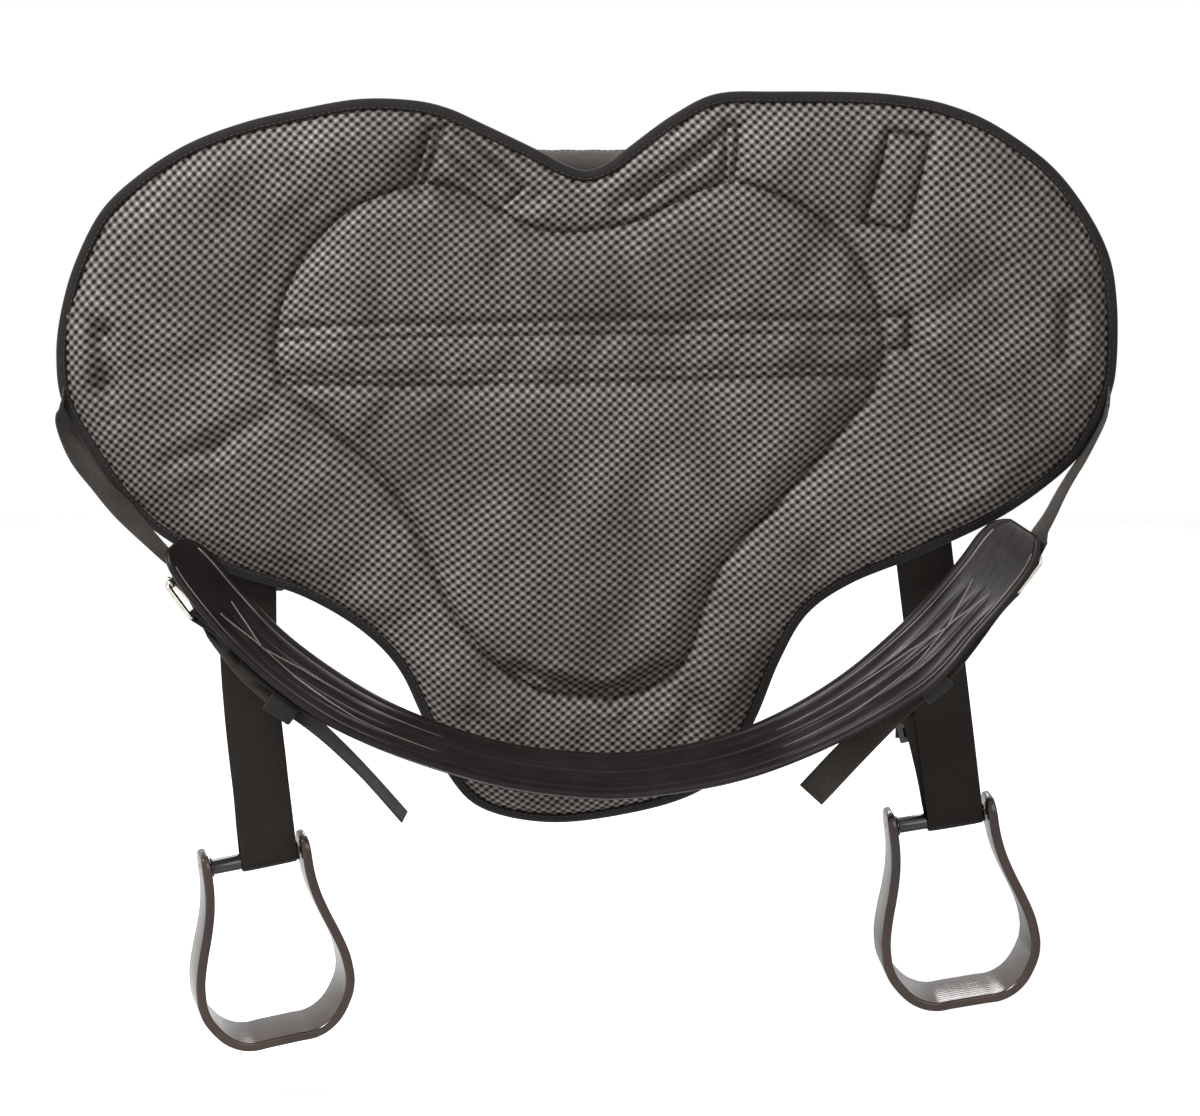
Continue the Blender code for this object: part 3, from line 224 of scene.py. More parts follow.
def bumped(tree, shader, height, depth, strength=1.0, under=None):
    """Bump the shader by a height from 0 to 1 that stands for a depth in metres."""
    node = add(tree, "ShaderNodeBump", {"Height": height, "Distance": depth, "Strength": strength})
    if under is not None:
        tree.links.new(under, node.inputs["Normal"])
    tree.links.new(node.outputs["Normal"], shader.inputs["Normal"])
    return node.outputs["Normal"]


print("coordinate, noise and bump helpers ready")

# %% [markdown]
# ## The woven underside
# The face that lies on the horse is a vinyl-coated polyester mesh, a coarse basket weave that grips
# and lets air through. Each crossing stands up as a round bead and there is a dark pit beside it.
# The mesh below has real beads, and the finish repeats them from the same coordinates, with painted
# shade in each pit, a painted highlight on each bead's top and the fine grain of the coating. The
# coordinates count beads, so the two stay in step however the cloth is pulled.

# %% Finish: vinyl-coated mesh
bead_half_width = 4.5 * millimetre
bead_half_height = 3.9 * millimetre
bead_depth = 1.9 * millimetre
bead_shares = (0.235, 0.265)
# bead tones by height: painted shade in the pits and a painted highlight on the bead tops
bead_shade_and_highlight_tones = ((0.05, "#080404"), (0.16, "#19100d"), (0.28, "#433935"), (0.46, "#69625e"), (0.76, "#8a8784"),
              (1.0, "#b6b3b1"))


def vinyl_coated_mesh():
    """Round coated beads in step with the modelled ones, with painted shade in the pits and painted
    highlights on the tops.
    """
    made, tree, shader = new_finish("vinyl-coated mesh", 0.46, Specular_IOR_Level=0.22)
    height = 0.5
    for part, share in zip(split(tree, run_place(tree, "beads")), bead_shares):
        wave = maths(tree, "COSINE", maths(tree, "MULTIPLY", part, 2 * math.pi))
        height = maths(tree, "ADD", height, maths(tree, "MULTIPLY", wave, share))
    solid = solid_place(tree)
    worn = clouds(tree, solid, 0.11, 2.0)
    grain = clouds(tree, solid, 1.1 * millimetre, 2.0, 0.6)
    # the height ramp paints shade into each pit and a highlight onto each bead's top
    colour = shaded(tree, ramp(tree, height, bead_shade_and_highlight_tones), worn, ((0.30, "#c9c4be"), (0.70, "#ffffff")))
    colour = shaded(tree, colour, grain, ((0.32, "#bdbab6"), (0.66, "#ffffff")))
    linked(tree, shader, Base_Color=colour,
           Roughness=ramp(tree, height, ((0.1, "#e8e8e8"), (0.9, "#b4b4b4"))))
    fine = bumped(tree, shader, grain, 0.10 * millimetre, 0.5)
    bumped(tree, shader, height, 0.9 * millimetre, 0.6, fine)
    return made


mesh_finish = vinyl_coated_mesh()
print("one bead every", round(math.hypot(bead_half_width, bead_half_height) * 1000, 1), "mm")

# %% [markdown]
# ## The pad's shape on a net of points
# The outline and the seam round the centre panel are the same shares of the pad's width and length
# that the CAD source uses. Depth is worked out for many points at once: a flat middle, the padding
# on each side, the sewn channel and the band. All layers ask the same function, so they stay
# parallel.

# %% The pad's sizes and outlines
pad_half_width = 0.4515
pad_length = 0.636
lobe_rise = 0.0715
pad_plane = -0.0522
flap_bend = 0.0140
tongue_curl = 0.0160
tongue_curl_length = 0.1200
edge_half_thickness = 0.0036
binding_width = 0.0105
binding_thickness = 0.0014
outline_step, seam_step = 0.006, 0.008

outline_shares = (
    (0.000, 0.103), (0.043, 0.092), (0.080, 0.072), (0.160, 0.031), (0.241, 0.003), (0.350, 0.000),
    (0.507, 0.001), (0.591, 0.006), (0.670, 0.017), (0.756, 0.042), (0.858, 0.092), (0.926, 0.148),
    (0.975, 0.211), (0.994, 0.275), (0.998, 0.354), (0.988, 0.402), (0.956, 0.456), (0.911, 0.501),
    (0.795, 0.565), (0.641, 0.620), (0.509, 0.660), (0.424, 0.704), (0.372, 0.770), (0.330, 0.848),
    (0.281, 0.919), (0.216, 0.963), (0.102, 0.993), (-0.064, 1.011), (-0.201, 0.991), (-0.270, 0.940),
    (-0.323, 0.848), (-0.369, 0.778), (-0.444, 0.723), (-0.556, 0.676), (-0.691, 0.644),
    (-0.809, 0.596), (-0.880, 0.548), (-0.946, 0.476), (-0.992, 0.410), (-1.000, 0.350),
    (-0.989, 0.292), (-0.960, 0.226), (-0.907, 0.156), (-0.834, 0.108), (-0.743, 0.068),
    (-0.642, 0.041), (-0.541, 0.024), (-0.428, 0.010), (-0.330, 0.011), (-0.262, 0.021),
    (-0.195, 0.042), (-0.091, 0.077), (-0.043, 0.095),
)
seam_shares = (
    (-0.300, 0.119), (-0.375, 0.130), (-0.460, 0.160), (-0.537, 0.220), (-0.585, 0.300),
    (-0.580, 0.375), (-0.487, 0.448), (-0.375, 0.530), (-0.301, 0.626), (-0.273, 0.682),
    (-0.226, 0.737), (-0.169, 0.783), (-0.072, 0.815), (0.063, 0.815), (0.150, 0.794),
    (0.198, 0.752), (0.226, 0.682), (0.264, 0.626), (0.367, 0.543), (0.498, 0.434),
    (0.548, 0.385), (0.560, 0.313), (0.530, 0.246), (0.472, 0.187), (0.378, 0.141),
    (0.279, 0.117), (0.215, 0.126), (0.160, 0.145), (0.090, 0.168), (0.019, 0.179),
    (-0.034, 0.184), (-0.091, 0.180), (-0.138, 0.166), (-0.186, 0.150), (-0.243, 0.130),
)


def curve_through(points, closed, steps):
    """A smooth curve through points, with a fixed number of steps between each two."""
    knots = np.asarray(points, float)
    count = len(knots)
    out = []
    for i in range(count if closed else count - 1):
        before = knots[(i - 1) % count] if closed or i > 0 else 2 * knots[0] - knots[1]
        start, end = knots[i], knots[(i + 1) % count]
        after = knots[(i + 2) % count] if closed or i + 2 < count else 2 * knots[-1] - knots[-2]
        for t in np.arange(steps) / steps:
            out.append(0.5 * (2 * start + (end - before) * t
                              + (2 * before - 5 * start + 4 * end - after) * t ** 2
                              + (3 * start - before - 3 * end + after) * t ** 3))
    if not closed:
        out.append(knots[-1])
    return np.array(out)


def lengths_along(points):
    """Length along a path from its first point to each point."""
    return np.concatenate([[0.0], np.cumsum(np.linalg.norm(np.diff(points, axis=0), axis=1))])


def unit(rows):
    """Each row as a direction of length one."""
    return rows / np.linalg.norm(rows, axis=1)[:, None]


def evenly(points, closed, step):
    """The same curve with its points at an even spacing."""
    path = np.vstack([points, points[:1]]) if closed else np.asarray(points)
    lengths = lengths_along(path)
    count = max(2, round(lengths[-1] / step))
    places = np.linspace(0.0, lengths[-1], count + 1)
    if closed:
        places = places[:-1]
    return np.stack([np.interp(places, lengths, path[:, k]) for k in range(path.shape[1])], axis=1)


def from_shares(shares):
    """Places in metres from shares of the pad's half width and length."""
    return [(x * pad_half_width, lobe_rise - z * pad_length) for x, z in shares]


outline = evenly(curve_through(from_shares(outline_shares), True, 8), True, outline_step)
seam = evenly(curve_through(from_shares(seam_shares), True, 6), True, seam_step)
print(len(outline), "points round the pad and", len(seam), "round the centre panel")

# %% Depth functions
def distance_to(points, line, closed=True):
    """Least distance from each point to a line of straight runs."""
    ends = np.roll(line, -1, axis=0) if closed else line[1:]
    starts = line if closed else line[:-1]
    least = np.full(len(points), 1e9)
    for start, run in zip(starts, ends - starts):
        offset = points - start
        share = np.clip((offset @ run) / (run @ run), 0.0, 1.0)
        least = np.minimum(least, ((offset - share[:, None] * run) ** 2).sum(1))
    return np.sqrt(least)


def inside(points, loop):
    """Whether each point lies inside a closed loop."""
    odd = np.zeros(len(points), bool)
    for (ax, ay), (bx, by) in zip(loop, np.roll(loop, -1, axis=0)):
        if ay != by:
            crosses = (ay > points[:, 1]) != (by > points[:, 1])
            odd ^= crosses & (points[:, 0] < (bx - ax) * (points[:, 1] - ay) / (by - ay) + ax)
    return odd


def rise(value, length):
    """A rounded rise from 0 to 1 over a length."""
    return np.sqrt(1.0 - (1.0 - np.clip(value / length, 0.0, 1.0)) ** 2)


def smooth(value):
    """A soft step from 0 to 1."""
    value = np.clip(value, 0.0, 1.0)
    return value * value * (3.0 - 2.0 * value)


def pad_middle(points):
    """Depth of the pad's middle plane: the flaps bend to the horse and the tongue curls away."""
    flap = (np.abs(points[:, 0]) / pad_half_width) ** 2
    low = np.maximum(lobe_rise - pad_length + tongue_curl_length - points[:, 1], 0.0)
    return pad_plane - flap_bend * flap + tongue_curl * (low / tongue_curl_length) ** 2


middle_of_edge = pad_middle(outline)
print("pad plane from", round(middle_of_edge.min(), 4), "to", round(middle_of_edge.max(), 4))

# %% [markdown]
# ## Padding by cloth simulation
# The felt and foam push the covers out between the seams, and the covers answer with small puckers
# along every row of stitches. A cloth simulation makes those well: the CAD core is remeshed into
# even squares, the points on the seam and round the edge are held still, and a little pressure
# inside fills the rest for twenty steps. The covers are larger than flat, so they wrinkle. The
# result is read as a depth on each side, which the woven cover and the seat cover then follow.

# %% Simulate the padding
voxel = 6 * millimetre
pillow_rise = 5 * millimetre
held_at_seam, held_at_edge, held_at_line = 5 * millimetre, 14 * millimetre, 4 * millimetre
pressure_steps = 20
stitched_lines = (
    [(-0.265, -0.125), (0.253, -0.118)],
    [(-0.262, -0.175), (0.250, -0.166)],
)


def held_points(points):
    """How firmly each point of the padding is sewn down, from 0 to 1."""
    held = np.exp(-(distance_to(points, seam) / held_at_seam) ** 2)
    held = np.maximum(held, 1.0 - smooth(distance_to(points, outline) / held_at_edge))
    for line in stitched_lines:
        near = distance_to(points, np.array(line), False) / held_at_line
        held = np.maximum(held, np.exp(-near ** 2))
    return held


def simulated_padding():
    """The foam core pressed out between its seams by a cloth simulation."""
    core = bpy.data.objects.new("padding", frame["nodes"]["foam_core"].data.copy())
    bpy.context.collection.objects.link(core)
    bpy.context.view_layer.objects.active = core
    for other in bpy.context.selected_objects:
        other.select_set(False)
    core.select_set(True)
    remesh = core.modifiers.new("even squares", "REMESH")
    remesh.mode = "VOXEL"
    remesh.voxel_size = voxel
    bpy.ops.object.modifier_apply(modifier=remesh.name)
    rest = np.empty(len(core.data.vertices) * 3)
    core.data.vertices.foreach_get("co", rest)
    rest = rest.reshape(-1, 3)
    group = core.vertex_groups.new(name="sewn")
    for index, weight in enumerate(held_points(rest[:, [0, 2]])):
        group.add([index], float(weight), "REPLACE")
    cloth = core.modifiers.new("pressure", "CLOTH")
    settings = cloth.settings
    settings.quality = 5
    settings.vertex_group_mass = "sewn"
    settings.use_pressure = True
    settings.uniform_pressure_force = 3.5
    settings.effector_weights.gravity = 0.0
    settings.shrink_min = -0.05
    settings.tension_stiffness = 12.0
    settings.compression_stiffness = 12.0
    settings.shear_stiffness = 4.0
    settings.bending_stiffness = 0.6
    cloth.collision_settings.use_collision = False
    cloth.point_cache.frame_start = 1
    cloth.point_cache.frame_end = pressure_steps
    for step in range(1, pressure_steps + 1):
        bpy.context.scene.frame_set(step)
    shaped = core.evaluated_get(bpy.context.evaluated_depsgraph_get())
    moved = np.empty(len(rest) * 3)
    shaped.data.vertices.foreach_get("co", moved)
    moved = moved.reshape(-1, 3)
    shift = moved - rest
    length = np.linalg.norm(shift, axis=1, keepdims=True)
    shift *= np.minimum(1.0, pillow_rise / np.maximum(length, 1e-9))
    core.modifiers.remove(cloth)
    core.data.vertices.foreach_set("co", (rest + shift).ravel())
    core.data.update()
    print("padding:", len(rest), "points, pushed by up to", round(float(length.max()) * 1000, 1),
          "mm and held to", round(pillow_rise * 1000), "mm")
    bpy.context.scene.frame_set(1)
    return core


print("padding squares of", round(voxel * 1000), "mm")


# %% Read the padding's depth
def depth_reader(mesh_object, toward):
    """A function that reads how far a mesh stands out along Y, seen from one side."""
    tree = BVHTree.FromObject(mesh_object, bpy.context.evaluated_depsgraph_get())
    start = -1.0 if toward > 0 else 1.0

    def read(x, z, default):
        """Depth at a place, or the default where nothing is met."""
        hit = tree.ray_cast(Vector((x, start, z)), Vector((0.0, toward, 0.0)))[0]
        return hit.y if hit is not None else default
    return read


core_node = frame["nodes"]["foam_core"]
flat_readers = [depth_reader(core_node, 1.0), depth_reader(core_node, -1.0)]
padding = simulated_padding()
full_readers = [depth_reader(padding, 1.0), depth_reader(padding, -1.0)]
print("padding read from", "the simulation")

# %% [markdown]
# ## A coarse map of the pillow
# Asking the simulated mesh for every woven bead would be slow, so it is asked once for each point
# of a 5 mm map, and the covers read that map smoothly.

# %% Map the pillow's depth on both sides
map_step = 5 * millimetre
map_x = np.arange(-pad_half_width - 4 * map_step, pad_half_width + 5 * map_step, map_step)
map_z = np.arange(lobe_rise - pad_length - 6 * map_step, lobe_rise + 5 * map_step, map_step)


def pillow_map(side):
    """How much further out than the plain core the pillow stands, on one side of the pad."""
    flat, full = flat_readers[side], full_readers[side]
    rows = []
    for z in map_z:
        row = []
        for x in map_x:
            plain = flat(x, z, 0.0)
            row.append(full(x, z, plain) - plain if plain != 0.0 else 0.0)
        rows.append(row)
    sheet = np.clip(np.array(rows), -pillow_rise, pillow_rise)
    for _ in range(2):
        padded = np.pad(sheet, 1, mode="edge")
        sheet = (padded[1:-1, 1:-1] * 4 + padded[:-2, 1:-1] + padded[2:, 1:-1]
                 + padded[1:-1, :-2] + padded[1:-1, 2:]) / 8
    return sheet


def read_map(sheet, points):
    """Read a map between its points."""
    across = np.clip((points[:, 0] - map_x[0]) / map_step, 0, len(map_x) - 1.001)
    up = np.clip((points[:, 1] - map_z[0]) / map_step, 0, len(map_z) - 1.001)
    column, row = across.astype(int), up.astype(int)
    right, high = across - column, up - row
    below = sheet[row, column] * (1 - right) + sheet[row, column + 1] * right
    above = sheet[row + 1, column] * (1 - right) + sheet[row + 1, column + 1] * right
    return below * (1 - high) + above * high


pillow = [pillow_map(0), pillow_map(1)]
furthest = [round(float(np.abs(sheet).max()) * 1000, 1) for sheet in pillow]
bpy.data.objects.remove(padding)
print("pillow stands out by", furthest, "mm at most")

# %% [markdown]
# ## The two faces of the pad
# Each face is the middle plane plus its padding, with the sewn channel round the centre panel drawn
# in. On the horse side the band across the middle and the boxes where the handle and a stirrup strap
# are sewn through also pull the cover in, and a few long creases run out from the tightest corners.
# They are short lists of places in millimetres, read off the photograph.

# %% Describe the faces
flap_fill, panel_fill = 0.0162, 0.0185
seat_flap_fill, seat_fill = 0.0062, 0.0095
edge_roll = 0.030
panel_roll = 0.065
channel_depth, channel_width = 8.0 * millimetre, 8.5 * millimetre
stitch_bite, stitch_reach = 2.6 * millimetre, 2.4 * millimetre
sewn_floor, pillow_shoulder = 1.8 * millimetre, 42.0 * millimetre
box_floor, box_shoulder = 3.6 * millimetre, 20.0 * millimetre
band_shoulder, band_drop = 20.0 * millimetre, 3.4 * millimetre
crease_share = 2.2
crease_lip, lip_place = 0.22, 2.2
lump_height = 1.1 * millimetre
band_half_length, band_middle, band_end = 0.262, -0.005, 0.008
band_sink = 3.2 * millimetre
box_flatness = 0.35
settle_reach = 0.016

creases = (
    # from x, z to x, z, then width and depth
    (-421, -118, -410, -130, 8, 2.4), (-410, -130, -408, -172, 10, 4.2), (-408, -172, -401, -196, 10, 1.5),
    (-356, -239, -318, -226, 9, 2.2), (-318, -226, -275, -203, 11, 2.8), (-330, -262, -268, -226, 10, 1.0),
    (278, -146, 345, -190, 10, 3.6), (406, -102, 407, -147, 8, 3.0), (292, -112, 352, -72, 12, 1.8),
    (262, -60, 276, -128, 10, 2.0),
    (-60, -424, -25, -437, 7, 2.4), (-25, -437, 20, -447, 7, 2.8), (20, -447, 68, -424, 7, 3.0),
    (-118, -8, -80, -34, 8, 2.0), (28, -22, 52, -6, 7, 2.2), (-70, -28, -42, -16, 7, 2.0),
    (-22, -250, -30, -400, 16, 1.1), (58, -240, 42, -380, 16, 1.2), (-96, -260, -66, -380, 14, 0.9),
    (-165, -60, -178, -110, 12, 1.1), (205, -50, 196, -112, 12, 1.1), (-300, -30, -215, -60, 14, 1.2),
    (315, -20, 352, -120, 15, 1.4), (-215, -330, -158, -356, 12, 1.0), (190, -330, 246, -292, 12, 1.2),
    (-92, -470, -60, -520, 9, 1.6), (92, -455, 76, -512, 9, 1.6), (0, -470, -4, -510, 10, 1.2),
    (-320, -150, -372, -160, 12, 1.3), (320, -225, 372, -262, 12, 1.4), (-30, -52, 30, -50, 14, 1.0),
)
left_handle_box = [(-129, 32), (-115, 46), (-54, -8), (-70, -22), (-129, 32)]
right_handle_box = [(118, 42), (104, 24), (44, -18), (60, 2), (118, 42)]
sewn_boxes = (
    left_handle_box, right_handle_box,
    [(-132, 42), (-119, 43), (-141, -12), (-150, -10), (-132, 42)],
    [(117, 44), (128, 43), (124, -4), (115, -3), (117, 44)],
    [(252, 40), (288, 35), (270, -45), (233, -36), (252, 40)],
    [(253, -117), (274, -114), (274, -141), (253, -145)],
)
band_lines = (
    [(-265, -125), (-130, -121), (0, -118.5), (130, -117.5), (253, -118)],
    [(-265, -137), (-130, -133), (0, -131), (130, -130), (253, -131)],
    [(-262, -166), (-130, -165), (0, -163), (130, -160), (250, -158)],
    [(-262, -175), (-130, -176), (0, -174), (130, -170), (250, -166)],
)
# depth and reach of each line's seam, in millimetres
band_seams = ((3.6, 4.0), (2.6, 2.6), (2.2, 2.6), (5.4, 5.0))
print(len(creases), "pieces of crease and", len(sewn_boxes), "sewn boxes")


# %% Depth of each face
def in_metres(line):
    """A line given in millimetres."""
    return np.array(line, float) * millimetre


def body_of_fill(flap, panel, to_edge, to_seam, within):
    """Padding from the bound edge in, fuller inside the seam."""
    body = edge_half_thickness + (flap - edge_half_thickness) * rise(to_edge, edge_roll)
    return body + np.where(within, (panel - flap) * rise(to_seam, panel_roll), 0.0)


def shouldered(fill, floor, near, length):
    """Padding that rises from a sewn line over a rounded shoulder."""
    return np.where(fill > floor, floor + (fill - floor) * rise(near, length), fill)


def band_depth(points, within):
    """How far the band across the middle is drawn in: its seams, its strip and the cover beside it."""
    near_lines = [distance_to(points, in_metres(line), False) for line in band_lines]
    drawn = np.zeros(len(points))
    for near, (depth, width) in zip(near_lines, band_seams):
        drawn += depth * millimetre * np.exp(-(near / (width * millimetre)) ** 2)
    height = np.interp(points[:, 0], *in_metres(band_lines[0]).T)
    floor = np.interp(points[:, 0], *in_metres(band_lines[-1]).T)
    share = np.clip((height - points[:, 1]) / (height - floor), 0.0, 1.0)
    on_band = smooth((band_half_length - np.abs(points[:, 0] - band_middle)) / band_end)
    on_band = on_band * (share > 0.0) * (share < 1.0)
    drawn += on_band * band_sink * (1.0 - 0.75 * np.sin(np.clip((share - 0.25) / 0.6, 0, 1) * math.pi))
    beside = within * ((share <= 0.0) | (share >= 1.0))
    drawn += beside * band_drop * (1.0 - rise(np.minimum(near_lines[0], near_lines[-1]), band_shoulder))
    return drawn


def lumps(points):
    """Slight unevenness of the felt below."""
    x, z = points[:, 0], points[:, 1]
    broad = np.sin(61 * x + 23 * z + 1) * np.sin(47 * z - 19 * x + 2)
    return lump_height * (broad + 0.6 * np.sin(97 * x - 71 * z))


def horse_depth(points):
    """Depth of the woven cover's outer face before its beads."""
    to_edge = distance_to(points, outline) - binding_width
    to_seam = distance_to(points, seam)
    within = inside(points, seam)
    fill = body_of_fill(flap_fill, panel_fill, to_edge, to_seam, within)
    fill = shouldered(fill, sewn_floor, to_seam, pillow_shoulder)
    fill -= stitch_bite * np.exp(-(to_seam / stitch_reach) ** 2)
    for x0, z0, x1, z1, width, depth in creases:
        line = in_metres([(x0, z0), (x1, z1)])
        near = distance_to(points, line, False) / (width * millimetre)
        valley = np.exp(-near ** 2) - crease_lip * np.exp(-(near - lip_place) ** 2)
        fill -= depth * millimetre * crease_share * valley
    for box in sewn_boxes:
        line = in_metres(box)
        near = distance_to(points, line, False)
        within_box = inside(points, line[:4]) if len(box) == 5 else np.zeros(len(points), bool)
        fill = shouldered(fill, box_floor, np.where(within_box, box_flatness * near, near), box_shoulder)
        fill -= stitch_bite * np.exp(-(near / stitch_reach) ** 2)
    fill -= band_depth(points, within)
    fill += lumps(points) * rise(to_edge, edge_roll)
    fill = np.maximum(fill, edge_half_thickness * 0.6)
    settle = smooth(to_edge / settle_reach)
    return pad_middle(points) - fill + read_map(pillow[0], points) * settle * 0.7


def seat_depth(points):
    """Depth of the seat cover's outer face, never further out than the solid's by more than a hair."""
    to_edge = distance_to(points, outline) - binding_width
    to_seam = distance_to(points, seam)
    within = inside(points, seam)
    fill = body_of_fill(seat_flap_fill, seat_fill, to_edge, to_seam, within)
    fill -= 0.7 * channel_depth * np.exp(-(to_seam / channel_width) ** 2)
    fill = np.maximum(fill, edge_half_thickness * 0.7)
    settle = smooth(to_edge / settle_reach) * 0.5
    return pad_middle(points) + fill + np.minimum(read_map(pillow[1], points), 0.0) * settle


trial = np.array([[0.0, -0.3], [0.35, -0.1], [0.0, -0.145]])
print("horse face depth at three points:", np.round(horse_depth(trial), 4))

# %% [markdown]
# ## Making meshes from arrays
# Big even meshes are quickest to make straight from arrays of points and faces. One helper does it
# for every piece: it names the object, keeps a map of coordinates for the finish, smooths the
# faces, gives the finish, and makes the piece ride on its body.

# %% The piece maker
def whole_squares(keep):
    """Faces between the points of a grid, wherever all four corners are kept."""
    corners = keep[:-1, :-1] & keep[1:, :-1] & keep[1:, 1:] & keep[:-1, 1:]
    row, column = np.nonzero(corners)
    size = keep.shape[1]
    first = row * size + column
    return np.stack([first, first + size, first + size + 1, first + 1], axis=1)


def closed_sheet(faces, count):
    """Faces of both sides of a sheet and of the wall round its rim. Each side has so many points."""
    pairs = np.vstack([faces[:, [k, (k + 1) % 4]] for k in range(4)])
    _, index, uses = np.unique(np.sort(pairs, axis=1), axis=0, return_index=True, return_counts=True)
    rim = pairs[index[uses == 1]]
    walls = np.stack([rim[:, 1], rim[:, 0], rim[:, 0] + count, rim[:, 1] + count], axis=1)
    return np.vstack([faces, faces[:, ::-1] + count, walls])


def swept_faces(rings, sides, ring_shaped=False):
    """Faces between rings of points, closed by a cap at each end or joined into one big ring."""
    faces = [(k * sides + i, k * sides + (i + 1) % sides, (k + 1) % rings * sides + (i + 1) % sides,
              (k + 1) % rings * sides + i) for k in range(rings - 1 + ring_shaped) for i in range(sides)]
    if not ring_shaped:
        faces += [tuple(range(sides))[::-1], tuple((rings - 1) * sides + i for i in range(sides))]
    return faces


def piece(name, points, faces, finish, body="pad", coordinates=None, sharp=None, layer="run"):
    """A mesh object from points and faces, riding on a body."""
    mesh = bpy.data.meshes.new(name)
    mesh.from_pydata([tuple(p) for p in points], [], [tuple(int(i) for i in face) for face in faces])
    if coordinates is not None:
        loops = np.empty(len(mesh.loops), int)
        mesh.loops.foreach_get("vertex_index", loops)
        uv = mesh.uv_layers.new(name=layer)
        uv.data.foreach_set("uv", np.asarray(coordinates, float)[loops].ravel())
    mesh.shade_smooth()
    if sharp is not None:
        mesh.set_sharp_from_angle(angle=math.radians(sharp))
    mesh.materials.append(finish)
    made = bpy.data.objects.new(name, mesh)
    bpy.context.collection.objects.link(made)
    if body:
        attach(made, body)
    return made


print("a cube's sweep has", len(swept_faces(2, 4)), "faces")

# %% [markdown]
# ## Weaving the underside
# The net of points follows the beads, with four points from one bead to the next, so that each bead
# has its own little dome and each pit its own hollow. The rows wander a little, as a cloth does when
# it is pulled over a cushion. The cover is made as a centre panel and two flaps, which meet in the
# sewn channel.

# %% Weave the underside cover
samples = 4
wander = 2.2 * millimetre
net_reach = 100
middle_half_width = 0.16
net_height = -0.24
lowest_bead = -0.58
net_edge_step = 0.012
net_edge_gap = 3.0 * millimetre
level_rows = 0.12
drop_heights, drop_slopes = (-0.45, -0.28, -0.10, 0.05), (0.15, 0.17, 0.11, 0.0)


def row_drop(x, z):
    """How far the rows drop to the sides, where the cloth was eased round the lobes."""
    out = np.maximum(np.abs(x) - level_rows, 0.0)
    reach = np.where(out < level_rows, out ** 2 / (2 * level_rows), out - level_rows / 2)
    return reach * np.interp(z, drop_heights, drop_slopes)


def woven_net():
    """Bead coordinates, places in X and Z, and faces of the whole woven cover."""
    steps = np.arange(-net_reach * samples, net_reach * samples + 1)
    i, j = np.meshgrid(steps, steps, indexing="ij")
    x = (i + j) * bead_half_width / samples
    z = (i - j) * bead_half_height / samples + net_height
    bent_x = x + wander * np.sin(z * 31.0 + 1.7) + wander * 1.4 * np.sin(x * 13.0 + z * 17.0)
    bent_z = z + wander * np.sin(x * 27.0 + 0.4) + wander * 1.6 * np.sin(x * 11.0 - z * 9.0 + 2.0)
    bent_z -= row_drop(x, z)
    flat = np.stack([bent_x.ravel(), bent_z.ravel()], axis=1)
    edge = evenly(outline, True, net_edge_step)
    near_box = (np.abs(flat[:, 0]) < pad_half_width) & (flat[:, 1] < lobe_rise) & (flat[:, 1] > lowest_bead)
    keep = np.zeros(len(flat), bool)
    keep[near_box] = inside(flat[near_box], edge)
    kept = flat[keep]
    keep[keep] = distance_to(kept, edge) > net_edge_gap
    beads = np.stack([i.ravel(), j.ravel()], axis=1) / samples
    return beads, flat, whole_squares(keep.reshape(i.shape))


def woven_part(name, beads, flat, faces):
    """One part of the cover, with a dome for each bead."""
    used, index = np.unique(faces, return_inverse=True)
    flat, beads = flat[used], beads[used]
    hollow = 0.5 - np.cos(2 * math.pi * beads) @ np.array(bead_shares)
    depth = horse_depth(flat) - (0.30 - hollow ** 2.2) * bead_depth
    points = np.stack([flat[:, 0], depth, flat[:, 1]], axis=1)
    made = piece(name, points, index.reshape(faces.shape), mesh_finish, coordinates=beads, layer="beads")
    print(name, len(faces) * 2, "triangles")
    return made


beads, flat, faces = woven_net()
centres = flat[faces[:, 0]]
in_panel = inside(centres, seam)
low_part = ~in_panel & (np.abs(centres[:, 0] - band_middle) < middle_half_width)
woven_pieces = [
    woven_part("woven_panel", beads, flat, faces[in_panel]),
    woven_part("woven_flap_left", beads, flat, faces[~in_panel & ~low_part & (centres[:, 0] < 0)]),
    woven_part("woven_flap_right", beads, flat, faces[~in_panel & ~low_part & (centres[:, 0] > 0)]),
    woven_part("woven_middle", beads, flat, faces[low_part]),
]
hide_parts("underside_cover")

# %% [markdown]
# ## Felt, seat cover and suede
# Behind the mesh lies the felt and foam core, which shows nowhere but must not poke through. The
# rider's side is a tough nylon pack cloth, with a suede panel where the rider sits. Pack cloth is a
# plain weave with a dull sheen, and suede has a soft nap that lightens where it is brushed. Both
# sheets are the same kind of net, at 4 mm, which is fine enough for their folds.

# %% Finishes: pack cloth, suede and felt
def pack_cloth():
    """Plain-woven nylon with a dull sheen."""
    made, tree, shader = new_finish("nylon pack cloth", 0.72, Sheen_Weight=0.25, Sheen_Roughness=0.5)
    solid = solid_place(tree)
    # real threads are 0.6 mm apart, drawn at 1.4 mm so that they show
    parts = split(tree, solid)
    threads = [ripples(tree, parts[axis], 1.4 * millimetre) for axis in (0, 2)]
    weave = maths(tree, "MULTIPLY_ADD", maths(tree, "MULTIPLY", *threads), 0.5, 0.5)
    tone = clouds(tree, solid, 0.06, 3.0)
    colour = mixed(tree, weave, linear("#171515"), linear("#2b2827"))
    linked(tree, shader, Base_Color=shaded(tree, colour, tone, ((0.3, "#b8b4b0"), (0.7, "#ffffff"))))
    soft = bumped(tree, shader, tone, 2.0 * millimetre, 0.3)
    bumped(tree, shader, weave, 0.25 * millimetre, 0.6, soft)
    return made


